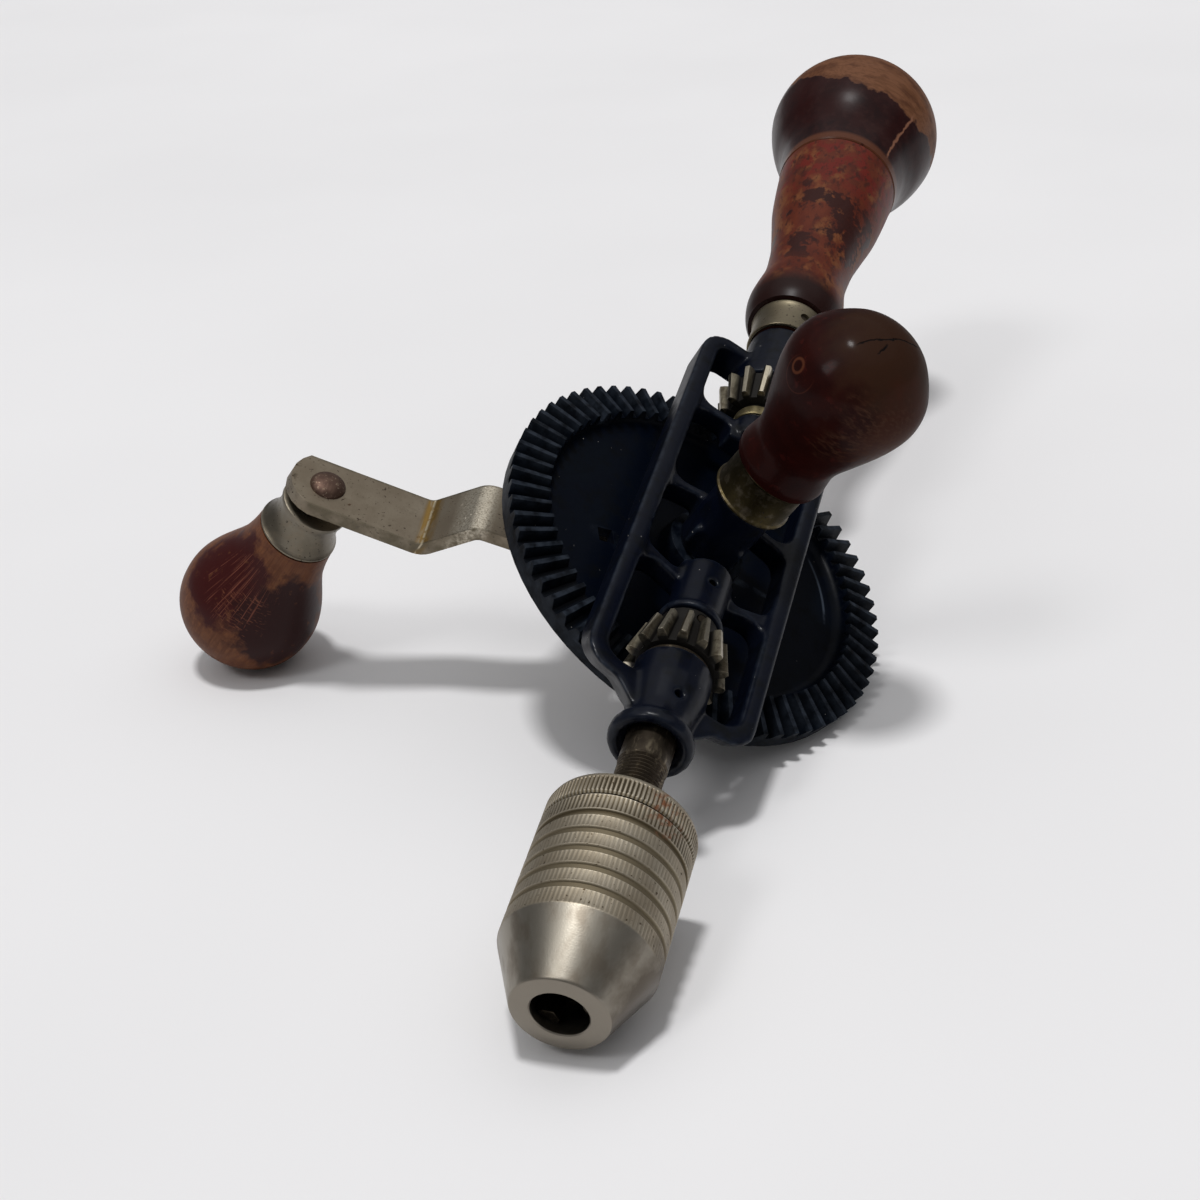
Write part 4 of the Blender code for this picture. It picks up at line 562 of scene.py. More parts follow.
def start_finish(name, place):
    """A new finish: its nodes, its shader, and the point on the surface in the piece's own
    axes in millimetres."""
    finish = bpy.data.materials.new(name)
    finish.use_nodes = True
    tree = finish.node_tree
    shader = tree.nodes["Principled BSDF"]
    back = place.inverted()
    point = add(tree, "ShaderNodeMapping", {
        "Vector": add(tree, "ShaderNodeTexCoord").outputs["Object"],
        "Location": back.translation / MM, "Rotation": back.to_euler(),
        "Scale": (1 / MM, 1 / MM, 1 / MM)}).outputs["Vector"]
    return finish, tree, shader, point


def marks(tree, point, size, low, high, detail=3.0, turn=(0, 0, 0), shift=0.0):
    """Scattered marks, 0 where the noise is below low and 1 where it is above high. Their size
    in millimetres is one number, or one along each axis."""
    sides = size if isinstance(size, tuple) else (size, size, size)
    scaled = add(tree, "ShaderNodeMapping", {
        "Vector": point, "Location": (shift, shift, shift),
        "Rotation": [math.radians(angle) for angle in turn],
        "Scale": [1 / side for side in sides]})
    noise = add(tree, "ShaderNodeTexNoise", {"Vector": scaled.outputs["Vector"], "Scale": 1.0,
                                             "Detail": detail, "Roughness": 0.55})
    return add(tree, "ShaderNodeMapRange", {"Value": noise.outputs[0], "From Min": low,
                                            "From Max": high}).outputs["Result"]


def torn(tree, point, value, limit, ragged, size, soft, shift):
    """1 where a value is under a limit, with an edge that a noise pulls in and out."""
    pull = marks(tree, point, size, 0.25, 0.75, 4.0, shift=shift)
    pulled = add(tree, "ShaderNodeMath", {0: pull, 1: ragged, 2: value},
                 operation='MULTIPLY_ADD')
    far = limit + ragged / 2
    return add(tree, "ShaderNodeMapRange", {
        "Value": pulled.outputs[0], "From Min": far + soft, "From Max": far - soft}
    ).outputs["Result"]


def spot(tree, point, middle, reach, ragged, size, soft=1.0, shift=0.0):
    """1 within reach of a point, and 0 outside."""
    away = add(tree, "ShaderNodeVectorMath", {0: point, 1: middle}, operation='DISTANCE')
    return torn(tree, point, away.outputs["Value"], reach, ragged, size, soft, shift)


def beyond(tree, point, way, place, ragged, size, soft=1.0, shift=0.0):
    """1 past a place along a way, and 0 before it."""
    back = [-share for share in way]
    along = add(tree, "ShaderNodeVectorMath", {0: point, 1: back}, operation='DOT_PRODUCT')
    return torn(tree, point, along.outputs["Value"], -place, ragged, size, soft, shift)


def unrolled(tree, point, radius):
    """The point moved straight out to one radius, so that marks follow a turned surface."""
    flat = add(tree, "ShaderNodeVectorMath", {0: point, 1: (1, 1, 0)}, operation='MULTIPLY')
    out = add(tree, "ShaderNodeVectorMath", {0: flat.outputs[0]}, operation='NORMALIZE')
    height = add(tree, "ShaderNodeVectorMath", {0: point, 1: (0, 0, 1)}, operation='MULTIPLY')
    return add(tree, "ShaderNodeVectorMath", {
        0: out.outputs[0], 1: (radius, radius, radius), 2: height.outputs[0]},
        operation='MULTIPLY_ADD').outputs[0]


def stretch(tree, point, axis, low, high, soft=1.0):
    """1 between two places along an axis of the piece (0 for X, 1 for Y, 2 for Z)."""
    along = add(tree, "ShaderNodeSeparateXYZ", {"Vector": point}).outputs[axis]
    rise = add(tree, "ShaderNodeMapRange", {"Value": along, "From Min": low - soft,
                                            "From Max": low + soft})
    fall = add(tree, "ShaderNodeMapRange", {"Value": along, "From Min": high + soft,
                                            "From Max": high - soft})
    return both(tree, rise.outputs["Result"], fall.outputs["Result"])


def both(tree, first, second):
    """Where two masks both hold."""
    return add(tree, "ShaderNodeMath", {0: first, 1: second}, operation='MULTIPLY').outputs[0]


def from_axis(tree, point):
    """How far the surface is from the piece's own Z axis."""
    flat = add(tree, "ShaderNodeVectorMath", {0: point, 1: (1, 1, 0)}, operation='MULTIPLY')
    return add(tree, "ShaderNodeVectorMath", {0: flat.outputs[0]},
               operation='LENGTH').outputs["Value"]


def ring_mark(tree, point, middle, radius, width):
    """A thin ring on the surface, round a point."""
    away = add(tree, "ShaderNodeVectorMath", {0: point, 1: middle}, operation='DISTANCE')
    off = add(tree, "ShaderNodeMath", {0: away.outputs["Value"], 1: radius},
              operation='SUBTRACT')
    off = add(tree, "ShaderNodeMath", {0: off.outputs[0]}, operation='ABSOLUTE')
    return add(tree, "ShaderNodeMapRange", {"Value": off.outputs[0], "From Min": width,
                                            "From Max": width / 3}).outputs["Result"]


def crack_line(tree, point, start, end, width):
    """A thin wandering line on the surface between two points."""
    start, end = Vector(start), Vector(end)
    middle, along = (start + end) / 2, (end - start).normalized()
    outward = middle.normalized()
    wander = marks(tree, point, 3, 0, 1, 4, shift=72)
    side = along.cross(outward).normalized()
    offset = add(tree, "ShaderNodeVectorMath", {0: point, 1: middle}, operation='SUBTRACT')
    off = add(tree, "ShaderNodeVectorMath", {0: offset.outputs[0], 1: side},
              operation='DOT_PRODUCT')
    moved = add(tree, "ShaderNodeMath", {0: wander, 1: 2.4, 2: off.outputs["Value"]},
                operation='MULTIPLY_ADD')
    moved = add(tree, "ShaderNodeMath", {0: moved.outputs[0], 1: 1.2}, operation='SUBTRACT')
    moved = add(tree, "ShaderNodeMath", {0: moved.outputs[0]}, operation='ABSOLUTE')
    thin = add(tree, "ShaderNodeMapRange", {"Value": moved.outputs[0], "From Min": width,
                                            "From Max": width / 3}).outputs["Result"]
    run = add(tree, "ShaderNodeVectorMath", {0: offset.outputs[0], 1: along},
              operation='DOT_PRODUCT')
    run = add(tree, "ShaderNodeMath", {0: run.outputs["Value"]}, operation='ABSOLUTE')
    reach = (end - start).length / 2
    inside = add(tree, "ShaderNodeMapRange", {"Value": run.outputs[0], "From Min": reach,
                                              "From Max": reach * 0.8}).outputs["Result"]
    near = spot(tree, point, tuple(middle), reach, 0.1, 3, 1.0)
    return both(tree, both(tree, thin, inside), near)


def layered(tree, base, layers):
    """A colour or a value, with layers over it that each show where their mask says."""
    if not isinstance(base, str):
        covered = base
        for mask, layer in layers:
            covered = add(tree, "ShaderNodeMix", {0: mask, MIX_LOW: covered, MIX_HIGH: layer},
                          data_type='FLOAT').outputs[MIX_VALUE]
        return covered
    covered = paint_hex(base)
    for mask, layer in layers:
        covered = add(tree, "ShaderNodeMix", {
            0: mask, MIX_BELOW: covered, MIX_ABOVE: paint_hex(layer)},
            data_type='RGBA').outputs[MIX_COLOUR]
    return covered


def complete(tree, shader, colour, roughness, relief, metallic=None, film=None):
    """Link a finish's colour, roughness and relief, a list of (height mask, depth in mm). A
    coat of paint or lacquer shines only by its film, given as its strength and roughness."""
    given = {"Base Color": colour, "Roughness": roughness}
    if metallic is not None:
        given["Metallic"] = metallic
    if film:
        given["Specular IOR Level"] = BODY_SHINE
        given["Coat Weight"], given["Coat Roughness"] = film
    for height, depth in relief:
        bump = {"Height": height, "Distance": abs(depth) * MM, "Strength": 1.0}
        if "Normal" in given:
            bump["Normal"] = given["Normal"]
        given["Normal"] = add(tree, "ShaderNodeBump", bump, invert=depth < 0).outputs["Normal"]
    wire(tree, shader, given)


def cast_enamel(name, base, dust, worn, film, scraped=False):
    """Navy stoving enamel on cast iron: semi-gloss over a slightly pitted skin, greyer where
    hands rub it, lighter along its sharp edges with wear and a painted highlight, and chipped
    to bare metal on its proudest corners."""
    finish, tree, shader, point = start_finish(name, DRILL)
    rubbed = marks(tree, point, 14, 0.46, 0.66, 5)
    grime = marks(tree, point, 5, 0.5, 0.72, 6, shift=31)
    chips = marks(tree, point, 1.3, 0.75, 0.76, 3, shift=7)
    sharp = add(tree, "ShaderNodeNewGeometry").outputs["Pointiness"]
    edges = add(tree, "ShaderNodeMapRange", {"Value": sharp, "From Min": 0.51,
                                             "From Max": 0.58}).outputs["Result"]
    # Sharp edges painted lighter in patches: edge wear and a painted highlight
    worn_and_highlit_edges = both(tree, edges, marks(tree, point, 3, 0.36, 0.6, 4, shift=3))
    layers = [(rubbed, dust), (grime, "#04060a"), (worn_and_highlit_edges, worn), (chips, "#8a8783")]
    if scraped:
        toothed = add(tree, "ShaderNodeMapRange", {"Value": from_axis(tree, point),
                                                   "From Min": WHEEL_TEETH_START[0],
                                                   "From Max": WHEEL_TEETH_START[1]})
        layers.insert(0, (toothed.outputs["Result"], "#0b0e13"))
        scrape = both(tree, ring_mark(tree, point, (0, 0, SCRAPE[2]), SCRAPE_RADIUS, 0.5),
                      spot(tree, point, SCRAPE, 9, 6, 3, 2.0, shift=29))
        layers.append((scrape, "#39404a"))
    colour = layered(tree, base, layers)
    roughness = layered(tree, 0.42, [(rubbed, 0.5), (grime, 0.6), (chips, 0.5)])
    pits = marks(tree, point, 0.9, 0.3, 0.7, 2, shift=11)
    waves = marks(tree, point, 4, 0.2, 0.8, 1, shift=5)
    complete(tree, shader, colour, roughness, [(pits, 0.012), (waves, 0.08)], film=film)
    return finish


def oily_steel(name, base, stain, bright, place, roughness=0.4):
    """Plain carbon steel, darkened by oil and handling, with a brown film in patches."""
    finish, tree, shader, point = start_finish(name, place)
    film = marks(tree, point, 3, 0.4, 0.66, 5)
    rubbed = marks(tree, point, (1.2, 1.2, 4), 0.55, 0.7, 3, shift=13)
    colour = layered(tree, base, [(film, stain), (rubbed, bright)])
    rough = layered(tree, roughness, [(film, roughness + 0.18), (rubbed, roughness - 0.08)])
    grain = marks(tree, point, 0.5, 0.3, 0.7, 2, shift=17)
    complete(tree, shader, colour, rough, [(grain, 0.012)], metallic=layered(
        tree, 1.0, [(film, 0.75)]))
    return finish


def cut_teeth(name):
    """Machined pinion teeth: tarnished steel, bright along the edges that run in the wheel,
    worn and with a painted highlight, with brown dried oil and painted shade in the roots."""
    finish, tree, shader, point = start_finish(name, SPINDLE)
    far = add(tree, "ShaderNodeMath", {0: add(tree, "ShaderNodeSeparateXYZ", {
        "Vector": point}).outputs[2]}, operation='ABSOLUTE')
    foot = add(tree, "ShaderNodeMath", {0: far.outputs[0], 1: TOOTH_SLOPE, 2: TOOTH_FOOT},
               operation='MULTIPLY_ADD')
    height = add(tree, "ShaderNodeMath", {0: from_axis(tree, point), 1: foot.outputs[0]},
                 operation='SUBTRACT').outputs[0]
    # Roots painted near black: dried oil and painted shade between the teeth
    oily_shaded_root = add(tree, "ShaderNodeMapRange", {"Value": height, "From Min": 1.9,
                                            "From Max": 0.7}).outputs["Result"]
    sharp = add(tree, "ShaderNodeNewGeometry").outputs["Pointiness"]
    # Sharp edges painted pale: wear and a painted highlight
    edge = add(tree, "ShaderNodeMapRange", {"Value": sharp, "From Min": 0.54,
                                            "From Max": 0.6}).outputs["Result"]
    stains = marks(tree, point, 2, 0.45, 0.68, 5)
    strokes = marks(tree, point, (0.35, 0.35, 6), 0.4, 0.7, 2, shift=9)
    colour = layered(tree, "#777060", [(strokes, "#8d8572"), (stains, "#50473a"),
                                       (edge, "#d5ccb8"), (oily_shaded_root, "#14110d")])
    rough = layered(tree, 0.34, [(stains, 0.5), (edge, 0.3), (oily_shaded_root, 0.65)])
    complete(tree, shader, colour, rough, [(strokes, 0.015)],
             metallic=layered(tree, 1.0, [(oily_shaded_root, 0.6)]))
    return finish


def satin_nickel(name):
    """Nickel plate on turned steel, dulled by handling: fine lathe rings, a brown film and
    painted shade in the low places, painted highlights on the sharp ridges, painted shade down
    the cone's right side and over the nose face, and freckles where rust has come through."""
    finish, tree, shader, point = start_finish(name, SPINDLE)
    cloud = marks(tree, point, 9, 0.35, 0.7, 5)
    freckles = marks(tree, point, 0.9, 0.64, 0.69, 5, shift=21)
    rust = both(tree, marks(tree, point, 2.2, 0.5, 0.66, 5, shift=27),
                spot(tree, point, (3.5, -16.5, -112.6), 5.5, 5, 3, 2.0))
    smooth = stretch(tree, point, 2, NOSE_FACE - 1, CONE_START, 0.2)
    # The nose face painted darker: painted shade
    nose_face_shade = stretch(tree, point, 2, NOSE_FACE - 1, NOSE_FACE + 0.3, 0.1)
    film = both(tree, smooth, marks(tree, point, (5, 5, 12), 0.44, 0.62, 4, shift=12))
    # Knurl valleys and grooves painted darker: brown film and painted shade
    low = add(tree, "ShaderNodeMapRange", {
        "Value": from_axis(tree, point), "From Min": CHUCK_RADIUS - 0.05,
        "From Max": CHUCK_RADIUS - SHARP_KNURL}).outputs["Result"]
    low_film_and_shade = both(tree, low, stretch(tree, point, 2, CONE_START + 0.5, COLLAR_BACK, 0.3))
    oil_and_shade = both(tree, low, stretch(tree, point, 2, FIRST_GROOVE, COLLAR_BACK, 0.3))
    sharp = add(tree, "ShaderNodeNewGeometry").outputs["Pointiness"]
    # Sharp ridges painted pale: a painted highlight
    ridge_highlight = add(tree, "ShaderNodeMapRange", {"Value": sharp, "From Min": 0.53,
                                             "From Max": 0.6}).outputs["Result"]
    # Painted shade down the cone's right side
    cone_painted_shade = spot(tree, point, (17, -4, -150), 13, 5, 5, 3.5, shift=33)
    colour = layered(tree, "#a79e8e", [(cloud, "#928775"), (freckles, "#4f4130"),
                                       (low_film_and_shade, "#786e5b"), (oil_and_shade, "#5a503e"),
                                       (ridge_highlight, "#c9c2b3"), (smooth, "#918b80"),
                                       (film, "#7d7569"), (cone_painted_shade, "#5a5248"),
                                       (nose_face_shade, "#857e73"), (rust, "#6b4226")])
    rough = layered(tree, 0.52, [(cloud, 0.57), (smooth, 0.36), (film, 0.42), (low_film_and_shade, 0.6),
                                 (rust, 0.75)])
    rings = marks(tree, point, (900, 900, 0.16), 0.3, 0.7, 1, shift=2)
    blasted = marks(tree, point, 0.35, 0.3, 0.7, 2, shift=6)
    complete(tree, shader, colour, rough, [(rings, 0.004), (blasted, 0.006)],
             metallic=layered(tree, 1.0, [(rust, 0.25)]))
    return finish


def worn_plate(name, place, base, film, speck, gloss=0.36, arm=False):
    """Thin nickel plate on stamped steel: satin, with dark freckles. The arm's is worn to
    brass colour in its far bend, polished and painted with a highlight over its near bend,
    painted darker in patches on its two side faces with grime and painted shade, and pitted
    round its tip."""
    finish, tree, shader, point = start_finish(name, place)
    cloud = marks(tree, point, 11, 0.35, 0.68, 5)
    dull = marks(tree, point, 2.5, 0.5, 0.75, 6, shift=41)
    specks = marks(tree, point, 0.9, 0.635, 0.67, 4, shift=4)
    blots = marks(tree, point, 2.4, 0.7, 0.72, 5, shift=14)
    layers = [(cloud, film), (dull, "#776d5e"), (specks, speck), (blots, "#46301d")]
    rough_layers = [(cloud, gloss + 0.06), (dull, gloss + 0.12), (specks, 0.7), (blots, 0.75)]
    if arm:
        brass = both(tree, stretch(tree, point, 0, 60.6, 63.6, 0.5),
                     marks(tree, point, (1.2, 9, 9), 0.3, 0.5, 3, shift=8))
        line = both(tree, stretch(tree, point, 0, 61.8, 62.1, 0.2),
                    marks(tree, point, 3, 0.42, 0.52, 4, shift=18))
        # Near bend painted bright: polish and a painted highlight
        rubbed = both(tree, stretch(tree, point, 0, 50.5, 56.5, 1.5),
                      marks(tree, point, 0.5, 0.32, 0.56, 3, shift=28))
        tip = both(tree, stretch(tree, point, 0, 97.5, 110, 1.0),
                   marks(tree, point, 1.2, 0.56, 0.62, 4, shift=19))
        # Both side faces painted darker in patches: grime and painted shade
        darker_side_faces = layered(tree, 0.0, [(stretch(tree, point, 1, -12, -8.2, 0.3), 1.0),
                                  (stretch(tree, point, 1, 8.2, 12, 0.3), 1.0)])
        grime = both(tree, darker_side_faces, marks(tree, point, 4, 0.3, 0.6, 4, shift=38))
        layers += [(brass, "#7d6438"), (rubbed, "#d3cab8"), (grime, "#655d4e"),
                   (line, "#c8bda4"), (tip, "#34271b")]
        rough_layers += [(rubbed, 0.32), (line, 0.35)]
    grain = marks(tree, point, 0.4, 0.3, 0.7, 3, shift=23)
    complete(tree, shader, layered(tree, base, layers), layered(tree, gloss, rough_layers),
             [(grain, 0.008), (specks, -0.02)],
             metallic=layered(tree, 1.0, [(specks, 0.4), (blots, 0.3)]))
    return finish


def rivet_steel():
    """Soft iron, peened over with a hammer: brown and dull, with a few bright dents."""
    finish, tree, shader, point = start_finish("peened_iron", KNOB)
    dents = marks(tree, point, 1.6, 0.3, 0.7, 1)
    bright = marks(tree, point, 0.8, 0.6, 0.68, 3, shift=9)
    colour = layered(tree, "#523e35", [(dents, "#604b40"), (bright, "#94826f")])
    rough = layered(tree, 0.52, [(bright, 0.36)])
    complete(tree, shader, colour, rough, [(dents, 0.06)], metallic=layered(
        tree, 0.8, [(bright, 1.0)]))
    return finish


def knob_lacquer():
    """Beech under mahogany lacquer: the lacquer is worn through at the end, the neck and one
    side, and scratched down to the pale wood along the knob and across it."""
    finish, tree, shader, point = start_finish("knob_lacquer", KNOB)
    round_it = unrolled(tree, point, 17)
    mottle = marks(tree, point, (4, 4, 6), 0.35, 0.68, 6, shift=1)
    red = spot(tree, point, (-10, -13, -87), 14, 8, 4, 1.6, shift=5)
    dark = spot(tree, point, (12, -13, -91), 14.5, 8, 4, 1.6, shift=15)
    back = spot(tree, point, (6, 20, -92), 19, 9, 7, 2.5, shift=25)
    long = both(tree, marks(tree, round_it, (0.32, 0.32, 16), 0.58, 0.64, 1, shift=45),
                spot(tree, point, (-6, -15, -86), 10, 8, 3, 1.0, shift=35))
    across = both(tree, marks(tree, round_it, (2.2, 2.2, 0.35), 0.56, 0.64, 3, shift=55),
                  spot(tree, point, (-1, -18, -91), 7, 7, 3, 1.0, shift=65))
    worn = marks(tree, point, (2.2, 2.2, 3.0), 0.63, 0.69, 6, shift=75)
    skin = marks(tree, point, (1.1, 1.1, 1.6), 0.45, 0.75, 4, shift=85)
    grain = marks(tree, round_it, (0.7, 0.7, 9), 0.45, 0.7, 3, shift=3)
    colour = layered(tree, "#67402a", [
        (mottle, "#512c1c"), (skin, "#704529"), (grain, "#56311e"), (red, "#361110"),
        (dark, "#2a0f0e"), (back, "#34100f"), (worn, "#4e2c1c"), (across, "#643a2a"),
        (long, "#66392d")])
    rough = layered(tree, 0.55, [(red, 0.42), (dark, 0.4), (back, 0.42), (worn, 0.6),
                                 (long, 0.6)])
    complete(tree, shader, colour, rough, [(skin, 0.02), (red, 0.03), (long, -0.04)],
             film=(0.2, 0.35))
    return finish


def side_lacquer():
    """Hardwood under a thick dark maroon lacquer, dulled but for a thin shine: scuffs, a
    small ring left by a cup of solvent, a lighter olive-brown end that is partly a painted
    sheen, and a drying crack across the end."""
    finish, tree, shader, point = start_finish("side_lacquer", DRILL)
    mottle = marks(tree, point, (8, 8, 10), 0.38, 0.68, 5, shift=2)
    # The end painted lighter olive-brown: the lacquer's tone and a painted sheen
    end = spot(tree, point, (4, -4, 76), 17, 8, 7, 4, shift=12)
    brown = spot(tree, point, (13, -11, 60), 10.5, 8, 6, 4, shift=22)
    zone = spot(tree, point, (9, -15, 56), 11, 8, 6, 3, shift=42)
    scuffs = both(tree, marks(tree, point, (2.6, 0.9, 0.9), 0.47, 0.68, 6, turn=(0, 30, 20),
                              shift=32), zone)
    bruises = marks(tree, point, 3.5, 0.6, 0.7, 5, shift=82)
    ring = ring_mark(tree, point, (-15.0, -10.0, 59.4), 1.7, 0.5)
    arc = both(tree, ring_mark(tree, point, (-14.0, -11.5, 58.8), 4.6, 0.22),
               stretch(tree, point, 2, 50, 60, 1.5))
    crack = crack_line(tree, point, (-8.0, -8.0, 72.4), (7.0, 4.0, 72.4), 0.3)
    branch = crack_line(tree, point, (-2.4, -8.2, 72.0), (-1.2, -4.0, 73.4), 0.25)
    colour = layered(tree, "#260906", [
        (mottle, "#1b0605"), (bruises, "#330f0b"), (end, "#2e1b11"), (brown, "#371a0f"),
        (scuffs, "#40281c"), (ring, "#4a281a"), (arc, "#35170f"), (crack, "#060202"),
        (branch, "#060202")])
    rough = layered(tree, 0.5, [(mottle, 0.45), (end, 0.6), (scuffs, 0.65)])
    waves = marks(tree, point, (3, 3, 6), 0.3, 0.7, 2, shift=62)
    complete(tree, shader, colour, rough, [(waves, 0.02), (crack, -0.25), (branch, -0.15)],
             film=(0.06, 0.16))
    return finish


def handle_lacquer():
    """Beech under orange-red lacquer that has rubbed off in patches, over an older dark coat
    that still shows as islands, and stays whole round the bell at the foot."""
    finish, tree, shader, point = start_finish("handle_lacquer", SPINDLE)
    mottle = marks(tree, point, (5, 5, 9), 0.36, 0.66, 6, shift=4)
    pale = marks(tree, point, (6, 6, 8), 0.5, 0.62, 6, shift=14)
    islands = marks(tree, point, (5.5, 5.5, 8), 0.55, 0.6, 6, shift=24)
    dark = both(tree, islands, stretch(tree, point, 2, 112, 160, 9))
    red = both(tree, marks(tree, point, 5, 0.46, 0.56, 5, shift=34),
               stretch(tree, point, 2, 154, 178, 5))
    foot = stretch(tree, point, 2, 80, 103.5, 3.5)
    left = marks(tree, point, (1.6, 1.6, 3), 0.54, 0.66, 5, shift=44)
    layers = [(mottle, "#4a1b0f"), (pale, "#6a3d22"), (red, "#5e1a11"), (left, "#3d180f"),
              (dark, "#2b0e0a")]
    for number, (middle, reach) in enumerate(HANDLE_PATCHES):
        layers.append((spot(tree, point, middle, reach, reach * 2, 2.6, 0.7, shift=60 + number),
                       "#2e0f0a"))
    colour = layered(tree, "#5a2614", layers + [(foot, "#1e0a07")])
    rough = layered(tree, 0.5, [(pale, 0.58), (dark, 0.42), (foot, 0.4)])
    skin = marks(tree, point, (1.6, 1.6, 3), 0.35, 0.7, 5, shift=54)
    complete(tree, shader, colour, rough, [(skin, 0.025), (dark, 0.05)], film=(0.25, 0.35))
    return finish


def cap_lacquer():
    """The cap: dark purple-brown lacquer below, worn to bare tan beech where the palm rests,
    with a thin bare streak down one side and a bare band along the seam."""
    finish, tree, shader, point = start_finish("cap_lacquer", SPINDLE)
    mottle = marks(tree, point, 9, 0.4, 0.66, 5, shift=6)
    palm = beyond(tree, point, (0, -0.6, 1), 216.4, 5, 6, 0.6, shift=16)
    crown = stretch(tree, point, 2, 226, 260, 2.5)
    seam = both(tree, stretch(tree, point, 2, 177, 181.4, 0.8),
                marks(tree, point, 8, 0.4, 0.46, 3, shift=26))
    streak = crack_line(tree, point, (6.6, -17.7, 180.5), (8.6, -22.5, 204.5), 0.6)
    dust = marks(tree, point, 2.6, 0.5, 0.72, 6, shift=36)
    stains = both(tree, palm, marks(tree, point, (9, 6, 4), 0.49, 0.6, 6, shift=46))
    grain = both(tree, palm, marks(tree, point, (9, 0.8, 0.8), 0.45, 0.65, 3, shift=66))
    colour = layered(tree, "#260b0a", [
        (mottle, "#1a0708"), (dust, "#2b1311"), (crown, "#60402a"), (palm, "#6b4630"),
        (stains, "#4f2f1e"), (grain, "#5d3b26"), (seam, "#502d1d"), (streak, "#7a5340")])
    rough = layered(tree, 0.3, [(dust, 0.38), (palm, 0.58), (crown, 0.58), (streak, 0.6)])
    skin = marks(tree, point, 3, 0.3, 0.7, 4, shift=56)
    complete(tree, shader, colour, rough, [(skin, 0.03), (palm, -0.06)], film=(0.2, 0.3))
    return finish


def pale_floor():
    """Plain pale matt board."""
    finish, tree, shader, point = start_finish("pale_board", Matrix.Identity(4))
    cloud = marks(tree, point, 300, 0.3, 0.7, 3)
    colour = layered(tree, "#e6e5e6", [(cloud, "#ebeaeb")])
    complete(tree, shader, colour, layered(tree, 0.85, [(cloud, 0.9)]), [])
    return finish


def dress(piece, body, slot, finish, *nodes):
    """Give a piece its finish and its body, and hide the solids that it stands for; its slot is not
    used.
    """
    piece.data.materials.clear()
    piece.data.materials.append(finish)
    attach(piece, body)
    if nodes:
        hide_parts(*nodes)


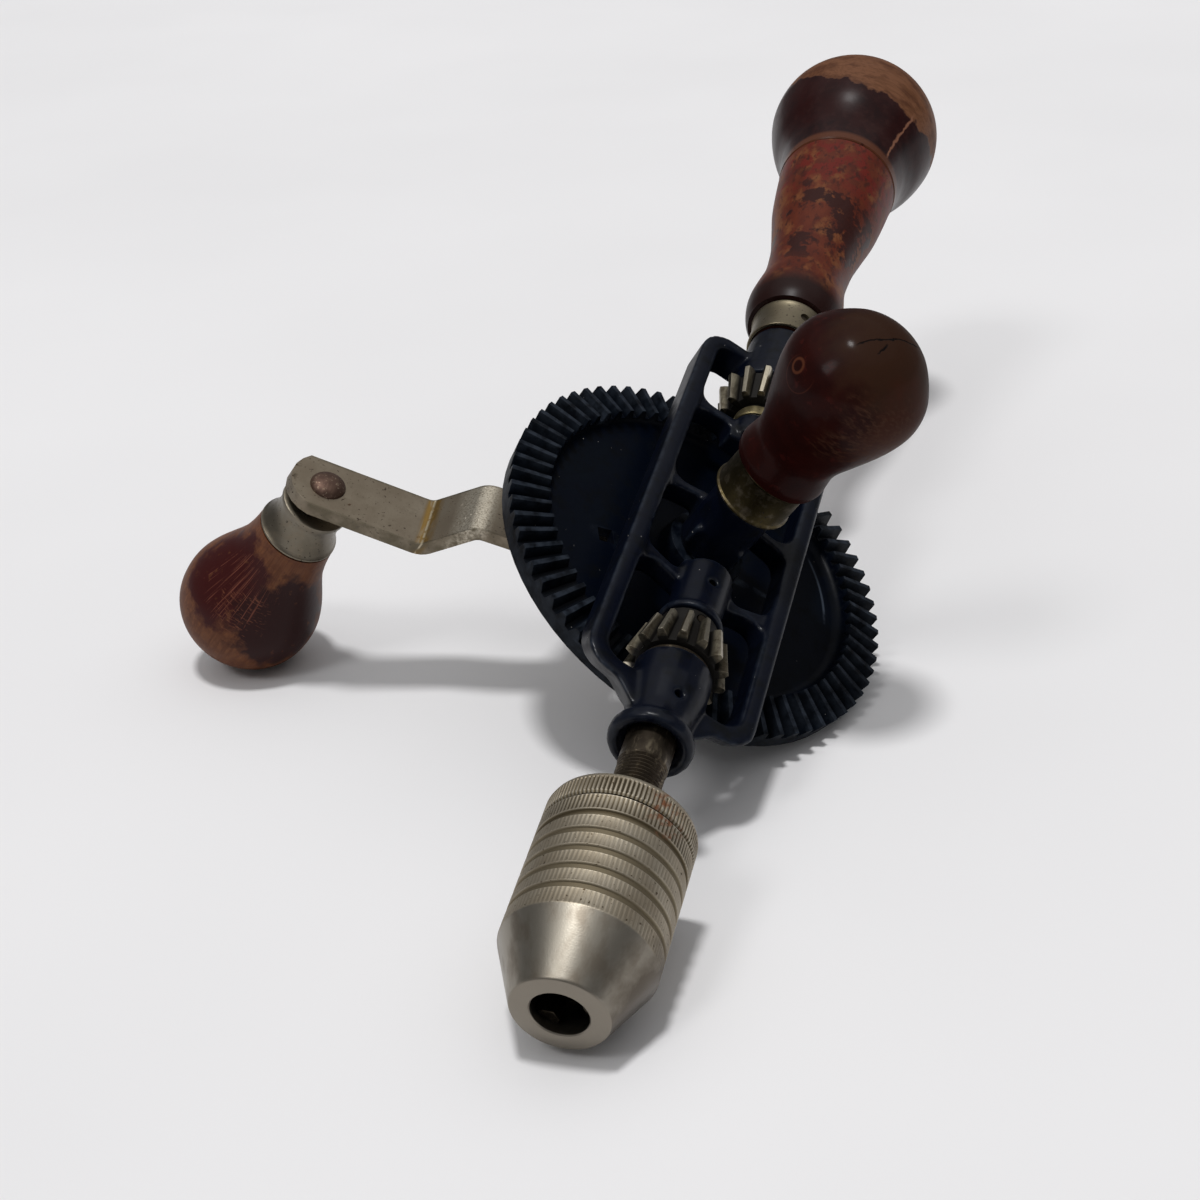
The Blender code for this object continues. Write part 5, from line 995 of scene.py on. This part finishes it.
def dress_drill():
    """Make every piece that shows, and give all of them their finish."""
    nickel = satin_nickel("satin_nickel")
    enamel = cast_enamel("navy_enamel", "#040815", "#0a0e19", "#2f3641", (0.25, 0.25))
    wheel_enamel = cast_enamel("wheel_enamel", "#010510", "#030811", "#2a3039",
                               (0.04, 0.3), scraped=True)
    teeth = cut_teeth("pinion_steel")
    steel = oily_steel("oiled_steel", "#4a4238", "#2c241b", "#6c6252", SPINDLE)
    plate = worn_plate("arm_nickel", ARM, "#8c8272", "#7a6f60", "#3c2f22",
                       gloss=0.46, arm=True)
    cup = worn_plate("cup_nickel", KNOB, "#7c7568", "#665f53", "#2a2119")
    olive = worn_plate("olive_nickel", DRILL, "#4d442d", "#3c3422", "#1f180d")
    ring = worn_plate("ring_nickel", SPINDLE, "#867d69", "#706653", "#332819")
    pale = worn_plate("pale_brass", SPINDLE, "#a89b74", "#8c7f5d", "#4c4229")
    iron = rivet_steel()
    jaw_steel = oily_steel("jaw_steel", "#2d2822", "#1b1611", "#4a4337", SPINDLE)

    wood = make_wood()
    rows = [("crank_knob", "knob", "knob_lacquer", knob_lacquer()),
            ("side_handle", "frame", "side_lacquer", side_lacquer()),
            ("main_handle", "frame", "handle_lacquer", handle_lacquer()),
            ("handle_cap", "cap", "cap_lacquer", cap_lacquer())]
    for node, body, slot, finish in rows:
        dress(wood[node], body, slot, finish, node)

    rings = make_ferrules()
    rows = [("knob_ferrule", "knob", "arm_nickel", cup),
            ("side_handle_ferrule", "frame", "ferrule_brass", olive),
            ("main_handle_ferrule", "frame", "satin_nickel", ring),
            ("idler_collar", "frame", "collar_brass", pale),
            ("drive_thrust_washer", "spindle_set", "dark_steel", steel),
            ("idler_thrust_washer", "frame", "dark_steel", steel)]
    for node, body, slot, finish in rows:
        dress(rings[node], body, slot, finish, node)

    chuck = make_chuck()
    dress(chuck["chuck_body"], "spindle_set", "satin_nickel", nickel, "chuck_body")
    dress(chuck["chuck_shell"], "shell", "satin_nickel", nickel, "chuck_shell")
    for number in range(1, JAWS + 1):
        node = f"chuck_jaw_{number}"
        dress(eased(node, node + "_ground", JAW_EDGE), f"jaw_{number}", "jaw_steel",
              jaw_steel, node)

    dress(turned("spindle_shaft", SHAFT, SPINDLE), "spindle_set", "dark_steel", steel, "spindle")
    dress(screw_thread("spindle_thread"), "spindle_set", "dark_steel", steel, "spindle")
    dress(cast("frame_casting", "cast_frame"), "frame", "navy_enamel", enamel, "frame_casting")
    rows = [("gear_wheel", "cast_wheel", CAST_EDGE, "crank", "wheel_enamel", wheel_enamel),
            ("drive_pinion", "drive_teeth", CUT_EDGE, "spindle_set", "tooth_steel", teeth),
            ("idler_pinion", "idler_teeth", CUT_EDGE, "idler", "tooth_steel", teeth)]
    for node, name, edge, body, slot, finish in rows:
        dress(eased(node, name, edge), body, slot, finish, node)
    dress(eased("crank_arm", "stamped_arm", STAMPED_EDGE, 3), "crank", "arm_nickel", plate,
          "crank_arm")
    for piece in make_rivet():
        dress(piece, "crank", "rivet_steel", iron, "knob_pin")
    dress(make_screw(), "frame", "dark_steel", steel, "wheel_stud")
    for node in ("pinion_pin", "idler_axle", "side_handle_stud", "main_handle_stud",
                 "ferrule_pin"):
        coats = frame["nodes"][node].data.materials
        coats.clear()
        coats.append(steel)


def set_stage():
    """The floor, the lamps, the room's light and the camera."""
    bpy.ops.mesh.primitive_plane_add(size=FLOOR_SIZE * MM)
    floor = bpy.context.object
    floor.name = "floor"
    floor.data.materials.append(pale_floor())
    for name, (way, strength, width) in LAMPS.items():
        light = bpy.data.objects.new(name, bpy.data.lights.new(name, 'SUN'))
        light.data.energy = strength
        light.data.angle = math.radians(width)
        light.rotation_euler = Vector(way).to_track_quat('Z', 'Y').to_euler()
        bpy.context.collection.objects.link(light)
    room = bpy.data.worlds.new("room")
    room.use_nodes = True
    walls = room.node_tree.nodes["Background"].inputs
    walls["Color"].default_value = paint_hex("#f2f3f5")
    walls["Strength"].default_value = ROOM_STRENGTH
    bpy.context.scene.world = room
    right, ahead = Vector(CAMERA_RIGHT), Vector(CAMERA_FORWARD)
    view = Matrix((right, right.cross(ahead), -ahead)).transposed().to_4x4()
    view.translation = Vector(CAMERA_PLACE) * MM
    camera = bpy.data.objects.new("camera", bpy.data.cameras.new("camera"))
    camera.data.lens = CAMERA_LENS
    camera.data.sensor_width = 36
    camera.data.clip_start = 0.01
    camera.matrix_world = DRILL @ view
    bpy.context.collection.objects.link(camera)
    bpy.context.scene.camera = camera
    bpy.context.scene.view_settings.view_transform = 'Standard'


set_stage()
dress_drill()
